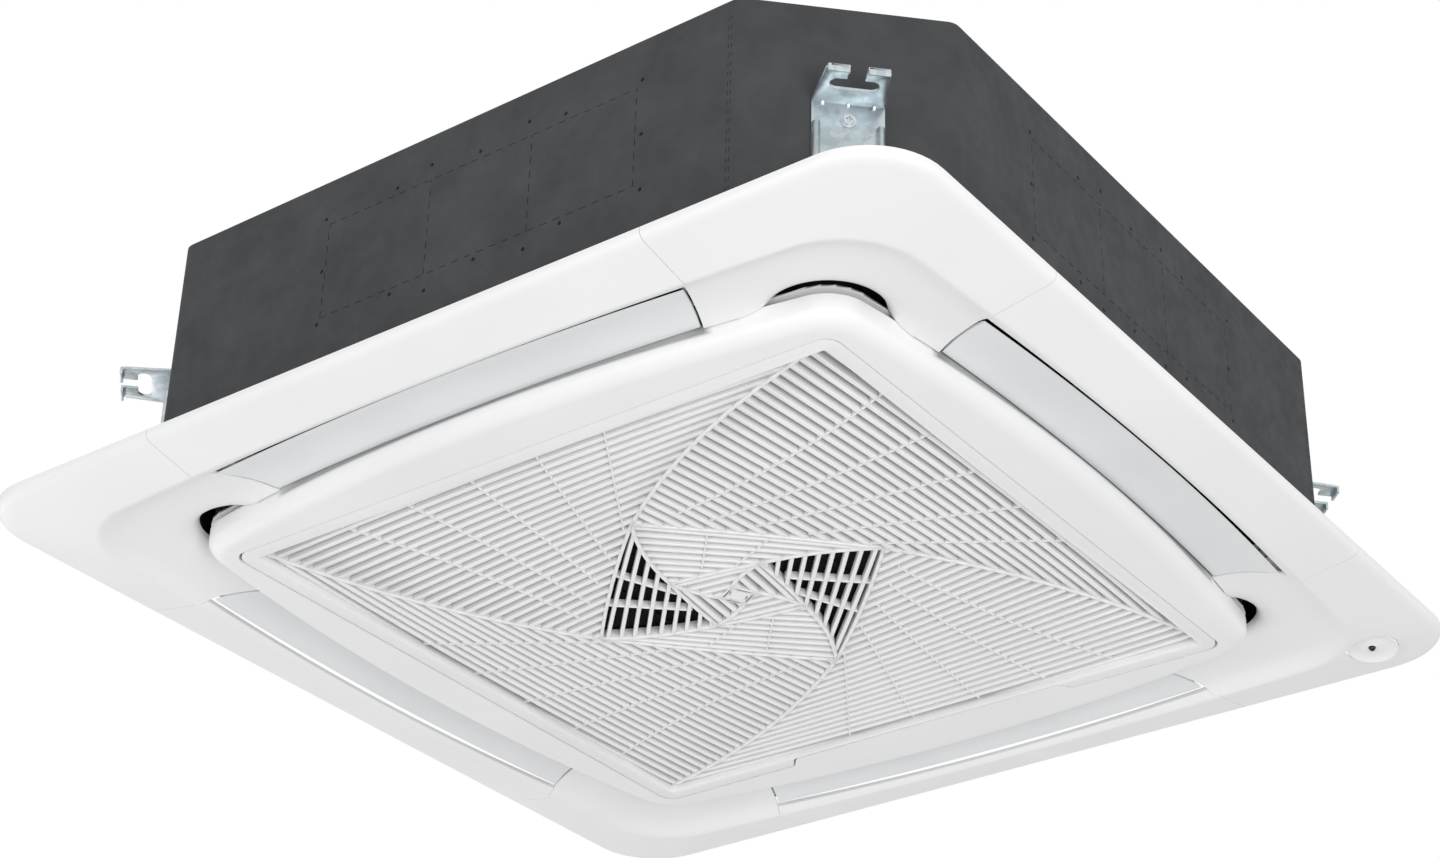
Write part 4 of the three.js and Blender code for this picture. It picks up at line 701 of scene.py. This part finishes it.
def layWhirl(level, k, face, back):
    # a quarter of a whirl: its spoke, its inner side, the slats between two spokes and the ribs behind them
    near = spokeRun(level, k + 1)
    side, inner = sideRun(level, k), sideRun(level + 1, k)
    far = spokeRun(level, k) + inner[1:]
    proud = face - swirl["spokeProud"]
    laid = [layBlade(spokeRun(level, k), swirl["spokeWidth"], swirl["spokeWidth"] - swirl["spokeTaper"],
                     proud, back),
            layBlade(inner, swirl["sideWidth"], swirl["sideWidth"] - swirl["sideTaper"], proud, back)]
    width = swirl["slatWidths"][level]
    count = round(runLength(near) / swirl["pitch"])
    for n in range(count):
        share = (n + 0.5) / count
        start, end = pointAlong(near, share), pointAlong(far, share ** swirl["lead"])
        length = (end - start).length
        if length < swirl["slatShortest"]:
            continue
        run = bowedRun(end, start, length ** 2 / (8 * swirl["bowRadius"]), 10)
        laid.append(layBlade(run, width, width - swirl["slatTaper"], face, back - swirl["slatSet"]))
    for outerShare, innerShare, bow in ribs[level]:
        run = bowedRun(pointAlong(side, 1 - outerShare), pointAlong(inner, 1 - innerShare), -bow, 10)
        run = [pointAlong(run, swirl["ribLength"] * i / 10) for i in range(11)]
        laid.append(layBlade(run, swirl["ribWidth"], swirl["ribWidth"] - swirl["ribTaper"],
                             face + swirl["ribSet"], back - swirl["ribBackSet"]))
    return laid


def makeHub(face, back):
    corners = [whirlPoint(3, k) for k in range(4)]
    hub = prism("hub", [tuple(corner) for corner in corners[::-1]], face - swirl["spokeProud"], back)
    cuts = []
    for k in range(4):
        # short slots go round the hub as the slats do
        here, after = corners[k], corners[(k + 1) % 4]
        start = here.lerp(after, hubCut["startShare"]) * hubCut["startIn"]
        end = here.lerp(after, hubCut["endShare"]) * hubCut["endIn"]
        cuts.append(layBlade(bowedRun(start, end, hubCut["bow"], 8), hubCut["width"], hubCut["width"],
                             face - 3, face + hubCut["deep"]))
    carve(hub, cuts)
    return hub


blades = []
for level in range(3):
    for k in range(4):
        blades += layWhirl(level, k, -swirl["face"], -swirl["back"])
blades.append(makeHub(-swirl["face"], -swirl["back"]))
bpy.data.objects.remove(blade)
print("blades laid:", len(blades))

border = prism("border", doorOutline(0, door["corner"]), -door["face"], -door["back"])
carve(border, [prism("inside", square(door["field"], 2), -cutDeep, cutDeep)])
# the border is a channel, open at the back
channel = prism("channel", doorOutline(-door["wall"], door["corner"] - door["wall"]),
                -door["face"] + door["wall"], 0)
carve(channel, [prism("keep", square(door["field"] + door["wall"], 3), -cutDeep, 1)])
carve(border, [channel])
# the edges are eased, which also lets the border turn in its gap
applyModifier(border, "BEVEL", {"width": door["edgeRound"] * mm, "segments": 3, "limit_method": "ANGLE",
                                "angle_limit": math.radians(60)})
grille = joinPieces([border] + blades, "swirlGrille")
smoothPiece(grille, 40)
dress(grille, "mouldedStyreneGrille")
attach(grille, "grille_door")
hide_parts("swirl_grille")
print("grille done:", len(grille.data.polygons), "faces")

# vanes
def makeVane(turn):
    # a hollowed blade between two arms, each with the pin that it turns on
    rings = []
    across = vane["across"]
    for i in range(vane["stations"] + 1):
        t = -1 + 2 * i / vane["stations"]
        bulge = 1 - t * t
        lower, upper = [], []
        for j in range(across + 1):
            s = j / across
            x = (vane["inner"] + vane["innerBow"] * bulge) * (1 - s) + \
                (vane["outer"] + vane["outerBow"] * bulge) * s
            half = vane["innerHalf"] * (1 - s) + vane["outerHalf"] * s
            depth = vane["innerDepth"] * (1 - s) + vane["outerDepth"] * s
            z = -depth + vane["hollow"] * 4 * s * (1 - s)
            rounding = vane["edgeRound"] if j in (0, across) else 0.0
            lower.append((x, t * half, z + rounding))
            upper.append((x, t * half, z + vane["thickness"] - rounding))
        rings.append([(*turned((x, y), turn), z) for x, y, z in lower + upper[::-1]])
    parts = [wrapSkin("vaneBlade", rings, closed=False)]
    for end in (-1, 1):
        arm = prism("arm", [(vane["axisPlace"] + x, z) for x, z in vane["arm"]],
                    -vane["armThickness"] / 2, vane["armThickness"] / 2)
        arm.data.transform(Matrix.Rotation(math.radians(90), 4, "X"))
        movePiece(arm, 0, end * vane["armPlace"], 0)
        pin = cylinder("pin", vane["pinRadius"], 0, vane["pinLength"], 24)
        pin.data.transform(Matrix.Rotation(math.radians(-90 * end), 4, "X"))
        movePiece(pin, vane["axisPlace"], end * vane["armPlace"], vane["axisHeight"])
        parts += [turnPiece(arm, 90 * turn), turnPiece(pin, 90 * turn)]
    return joinPieces(parts, f"vane_{sideNames[turn]}")


for turn, name in enumerate(sideNames):
    piece = makeVane(turn)
    smoothPiece(piece, 40)
    dress(piece, "mouldedAbsVane")
    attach(piece, f"vane_{name}")
    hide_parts(f"air_vane_{name}")
print("vanes done")

# receiver
def makeReceiverPiece(name, profile, steps, finish):
    # the dish leans to the room: its near side is sunk, its far side stands a little proud
    place, depth = receiver["place"], receiver["depth"]
    piece = spunRing(name, [(radius, height - depth) for radius, height in profile],
                     steps, place, place)
    for vertex in piece.data.vertices:
        vertex.co.z -= receiver["lean"] * (vertex.co.y - place * mm)
    smoothPiece(piece)
    dress(piece, finish)
    return piece


dish = makeReceiverPiece("receiverDish", receiver["dish"], 64, "mouldedAbsPanel")
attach(dish, "cassette")
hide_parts("receiver_housing")
eye = makeReceiverPiece("receiverEye", receiver["eye"], 32, "smokedAcrylic")
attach(eye, "cassette")
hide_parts("receiver_window")
print("receiver done")

# foam wrap with its scored knock-outs
wrap = dict(
    half=420.5, chamfer=121, thickness=3, low=7.1, top=230, edgeRound=6, roundSteps=4,
    dash=7, dashGap=6, scoreWidth=0.9, scoreDeep=0.7, holeRadius=1.9, holeDeep=2.6,
    seamPlaces=[290.6, 293.4], seamDash=4, seamGap=5, seamWidth=0.6, seamStart=6, seamMargin=8,
    pipeWindow=[(-430, 180, 70), (-400, 264, 168)],
    drainRadius=16, drainPlace=(-268, 430, 184), drainLength=30,
)
# places along the side and heights, measured from the middle of the side and the ceiling line
frontMarks = dict(uprights=[-124, -11, 96, 202], low=90, high=184, holes=[
    (-129, 191), (-49, 191), (41, 191), (130, 191), (207, 191), (-12, 199.5), (92, 199.5), (-128, 137.5),
    (208, 137.5), (-127, 84.5), (-47, 84.5), (42, 84.5), (130, 84.5), (209, 84.5), (-9, 74), (94, 74)])
rightMarks = dict(uprights=[-187, -79, 27, 140], low=96, high=186, holes=[
    (-189, 192), (-113, 192), (-25, 192), (64, 192), (146, 192), (-75, 201), (28, 201), (-190, 140),
    (142, 140), (-191, 87), (-117, 87), (-30, 87), (59, 87), (142, 87), (-81, 80), (22, 80)])


def octagon(inset):
    # an octagon set in by the same distance all round
    half = wrap["half"] - inset
    c = half - (wrap["chamfer"] - (2 - math.sqrt(2)) * inset)
    points = []
    corners = [(half, -c), (half, c), (c, half), (-c, half), (-half, c), (-half, -c), (-c, -half), (c, -half)]
    # each corner is eased by a short arc
    for i, corner in enumerate(corners):
        here = Vector(corner)
        before = (Vector(corners[i - 1]) - here).normalized() * wrap["edgeRound"]
        after = (Vector(corners[(i + 1) % 8]) - here).normalized() * wrap["edgeRound"]
        for j in range(wrap["roundSteps"] + 1):
            t = j / wrap["roundSteps"]
            point = (here + before) * (1 - t) ** 2 + here * 2 * t * (1 - t) + (here + after) * t * t
            points.append((point.x, point.y))
    return points


foam = prism("foam", octagon(0), wrap["low"], wrap["top"])
carve(foam, [prism("inside", octagon(wrap["thickness"]), -10, cutHigh)])
drain = cylinder("drain", wrap["drainRadius"], 0, wrap["drainLength"], 32)
drain.data.transform(Matrix.Rotation(math.radians(90), 4, "X"))
carve(foam, [block("pipeWindow", *wrap["pipeWindow"]), movePiece(drain, *wrap["drainPlace"])])


def scoreMarks(turn, marks):
    # dashed score lines and pin holes, cut on the right-hand face and turned to their side
    levelMarks, uprightMarks = [], []
    face, pitch, scoreHalf = wrap["half"], wrap["dash"] + wrap["dashGap"], wrap["scoreWidth"] / 2

    def dashBox(y0, y1, z0, z1):
        return turnPiece(block("dash", (face - wrap["scoreDeep"], y0, z0), (face + 1, y1, z1)), 90 * turn)

    low, high, left, right = marks["low"], marks["high"], marks["uprights"][0], marks["uprights"][-1]
    for z in (low, high):
        for i in range(math.ceil((right - left) / pitch)):
            y = left + i * pitch
            levelMarks.append(dashBox(y, min(y + wrap["dash"], right), z - scoreHalf, z + scoreHalf))
    for y in marks["uprights"]:
        for i in range(math.ceil((high - low) / pitch)):
            z = low + i * pitch
            uprightMarks.append(dashBox(y - scoreHalf, y + scoreHalf, z, min(z + wrap["dash"], high)))
    # two close rows of short dashes run up the seam beside the chamfer
    seamPitch = wrap["seamDash"] + wrap["seamGap"]
    for y in wrap["seamPlaces"]:
        for i in range(int((wrap["top"] - wrap["low"] - wrap["seamMargin"]) / seamPitch)):
            z = wrap["low"] + wrap["seamStart"] + i * seamPitch
            uprightMarks.append(dashBox(y - wrap["seamWidth"] / 2, y + wrap["seamWidth"] / 2,
                                        z, z + wrap["seamDash"]))
    for y, z in marks["holes"]:
        hole = cylinder("pinHole", wrap["holeRadius"], -wrap["holeDeep"], 1, 16)
        hole.data.transform(Matrix.Rotation(math.radians(90), 4, "Y"))
        levelMarks.append(turnPiece(movePiece(hole, face, y, z), 90 * turn))
    return levelMarks, uprightMarks


# the back repeats the front's marks; crossing dashes are cut in two goes
for turn, marks in ((0, rightMarks), (1, frontMarks), (3, frontMarks)):
    carve(foam, [joinPieces(cutMarks, "marks") for cutMarks in scoreMarks(turn, marks)])
smoothPiece(foam, 30)
dress(foam, "skivedFoamWrap")
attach(foam, "cassette")
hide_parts("outer_insulation")
print("foam wrap scored:", len(foam.data.polygons), "faces")

# hanger brackets
bracket = dict(
    width=57, sheet=2.5, bend=138, foot=22, reach=48, tip=50, tipCorner=4, tipEase=3,
    slotPlace=27, slotLength=38, slotWidth=12, slotSteps=12, mouth=13.5, lipHeight=7, lipWidth=17,
    # the bead's half section: how far along the sheet, how far out of it
    beadWidth=7, beadDrop=22, bead=[(3.5, -0.5), (2.6, 2.6), (1.2, 4)],
    dartPlaces=[-20, 0, 20], dartRun=2.2, dartHalf=1.5, edgeRound=0.6, foamGap=0.3,
)
screw = dict(head=6.2, headHigh=1.0, crownShare=0.76, crownHigh=3.4, recessReach=2.8, recessHalf=0.6,
             recessFloor=2.0, edgeRound=0.3, heights=[120, 46])


def makeBracket():
    half, tip, sheet = bracket["width"] / 2, bracket["tip"] / 2, bracket["sheet"]
    bend, reach, corner, ease = bracket["bend"], bracket["reach"], bracket["tipCorner"], bracket["tipEase"]
    wall = block("wall", (0, -half, bracket["foot"]), (sheet, half, bend - 0.5))
    tab = prism("tab", [(0, -half), (corner, -half), (reach - corner, -tip), (reach, -tip + ease),
                        (reach, tip - ease), (reach - corner, tip), (corner, half), (0, half)],
                bend - sheet, bend)
    radius = bracket["slotWidth"] / 2
    end = bracket["slotLength"] / 2 - radius
    arc = [math.pi * i / bracket["slotSteps"] for i in range(bracket["slotSteps"] + 1)]
    slot = [(bracket["slotPlace"] + radius * math.cos(a), end + radius * math.sin(a)) for a in arc]
    slot += [(bracket["slotPlace"] - radius * math.cos(a), -end - radius * math.sin(a)) for a in arc]
    mouth = bracket["mouth"] / 2
    carve(tab, [prism("slot", slot, 0, cutHigh),
                block("mouth", (bracket["slotPlace"], -mouth, 0), (reach + 5, mouth, cutHigh))])
    parts = [wall, tab]
    for side in (-1, 1):
        middle, lipHalf = side * (tip - bracket["lipWidth"] / 2 - 1), bracket["lipWidth"] / 2
        lip = block("lip", (reach - sheet, middle - lipHalf, bend - bracket["lipHeight"]),
                    (reach, middle + lipHalf, bend))
        y = side * (half - bracket["beadWidth"] / 2)
        section = [(sheet + out, y - along) for along, out in bracket["bead"]]
        section += [(sheet + out, y + along) for along, out in reversed(bracket["bead"])]
        parts += [lip, prism("bead", section, bracket["foot"], bend - bracket["beadDrop"])]
    for place in bracket["dartPlaces"]:
        # pressed darts stiffen the bend
        dart = prism("dart", [(sheet - 0.3, -bracket["dartRun"] - 1), (sheet + bracket["dartRun"], 0.1),
                              (sheet - 0.3, 0.1)], -bracket["dartHalf"], bracket["dartHalf"])
        dart.data.transform(Matrix.Rotation(math.radians(90), 4, "X"))
        parts.append(movePiece(dart, 0, place, bend - sheet))
    plate = joinPieces(parts, "bracketPlate")
    applyModifier(plate, "BEVEL", {"width": bracket["edgeRound"] * mm, "segments": 2, "limit_method": "ANGLE",
                                   "angle_limit": math.radians(50)})
    return plate


def makeScrew(height):
    # pan head with a cross recess and a washer face
    head = cylinder("screw", screw["head"], 0, screw["headHigh"], 32)
    crown = cylinder("crown", screw["head"] * screw["crownShare"], screw["headHigh"], screw["crownHigh"], 24)
    reach, half, floor, top = screw["recessReach"], screw["recessHalf"], screw["recessFloor"], 5
    carve(crown, [block("recess", (-reach, -half, floor), (reach, half, top)),
                  block("recess", (-half, -reach, floor), (half, reach, top))])
    piece = joinPieces([head, crown], "screw")
    applyModifier(piece, "BEVEL", {"width": screw["edgeRound"] * mm, "segments": 2, "limit_method": "ANGLE",
                                   "angle_limit": math.radians(40)})
    piece.data.transform(Matrix.Rotation(math.radians(90), 4, "Y"))
    return movePiece(piece, bracket["sheet"], 0, height)


# the sheet lies on the chamfer, a hair off the foam
chamferPlace = (wrap["half"] - wrap["chamfer"] / 2) * math.sqrt(2) + bracket["foamGap"]
plate = makeBracket()
smoothPiece(plate)
screws = joinPieces([makeScrew(height) for height in screw["heights"]], "bracketScrews")
smoothPiece(screws)
bracketParts = [(plate, "galvanisedSheet", "bracket"), (screws, "zincScrew", "bracketScrews")]
for turn, name in enumerate(cornerNames):
    for source, finish, label in bracketParts:
        piece = copyPiece(source, f"{label}_{name}")
        movePiece(piece, chamferPlace, 0, 0)
        turnPiece(piece, 45 + 90 * turn)
        dress(piece, finish)
        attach(piece, "cassette")
        if label == "bracket":
            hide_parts(f"hanger_bracket_{name}")
bpy.data.objects.remove(plate)
bpy.data.objects.remove(screws)
print("brackets done")

# floor, light and camera
# each lamp is a disk that faces the object: place along X and Y, size and power
studio = dict(
    floorDrop=4.6, floorHalf=14.0, floorColour="#f2f2f2", floorRoughness=0.9, worldLevel=0.69, lampDrop=1.25,
    lamps=dict(keyLamp=(2.5, -1.7, 1.3, 40.0), fillLamp=(-0.4, -2.9, 1.6, 14.0),
               leftLamp=(-2.8, 0.2, 1.6, 14.0)),
)


def makeFloor():
    deselectAll()
    bpy.ops.mesh.primitive_plane_add(size=2 * studio["floorHalf"], location=(0, 0, -studio["floorDrop"]))
    floor = bpy.context.object
    floor.name = "studioFloor"
    material = bpy.data.materials.new("paintedFloor")
    material.use_nodes = True
    shader = material.node_tree.nodes["Principled BSDF"]
    shader.inputs["Base Color"].default_value = hexColour(studio["floorColour"])
    shader.inputs["Roughness"].default_value = studio["floorRoughness"]
    floor.data.materials.append(material)


makeFloor()
world = bpy.data.worlds.new("studioWorld")
bpy.context.scene.world = world
world.use_nodes = True
worldTree = world.node_tree
background = worldTree.nodes["Background"]
background.inputs["Color"].default_value = (1, 1, 1, 1)
rays = addNode(worldTree, "ShaderNodeLightPath")
# what the camera, a reflection or a clear piece sees is white, at a strength of one
# the light that falls on the object is softer
seen = addNode(worldTree, "ShaderNodeMath", {"operation": "MAXIMUM"})
worldTree.links.new(rays.outputs["Is Camera Ray"], seen.inputs[0])
worldTree.links.new(rays.outputs["Is Glossy Ray"], seen.inputs[1])
through = addNode(worldTree, "ShaderNodeMath", {"operation": "MAXIMUM"})
worldTree.links.new(seen.outputs["Value"], through.inputs[0])
worldTree.links.new(rays.outputs["Is Transmission Ray"], through.inputs[1])
level = addNode(worldTree, "ShaderNodeMapRange", {"To Min": studio["worldLevel"], "To Max": 1.0},
                {"Value": through.outputs["Value"]})
worldTree.links.new(level.outputs["Result"], background.inputs["Strength"])

for name, (x, y, size, power) in studio["lamps"].items():
    lamp = bpy.data.lights.new(name, "AREA")
    lamp.shape = "DISK"
    lamp.size = size
    lamp.energy = power
    stand = bpy.data.objects.new(name, lamp)
    bpy.context.scene.collection.objects.link(stand)
    stand.location = (x, y, -studio["lampDrop"])
    stand.rotation_euler = (-stand.location).to_track_quat("-Z", "Y").to_euler()

# the photograph's own camera: its place, its axes and its focal length in the photograph's pixels
camera = dict(
    place=(1.34357, -1.81929, -1.20808), focalPixels=2890.4, imageWidth=1440,
    right=(0.80666197, 0.59063064, 0.02125825), down=(-0.28950424, 0.42624116, -0.85703312),
    forward=(-0.51525116, 0.68518167, 0.51482261),
)
lens = bpy.data.cameras.new("photoCamera")
lens.sensor_width = 36
lens.lens = camera["focalPixels"] / camera["imageWidth"] * lens.sensor_width
lens.clip_end = 60
cameraObject = bpy.data.objects.new("photoCamera", lens)
bpy.context.scene.collection.objects.link(cameraObject)
axes = Matrix((Vector(camera["right"]), -Vector(camera["down"]), -Vector(camera["forward"])))
cameraObject.matrix_world = Matrix.Translation(camera["place"]) @ axes.transposed().to_4x4()
bpy.context.scene.camera = cameraObject
bpy.context.scene.view_settings.view_transform = "Standard"
print("studio and camera set")
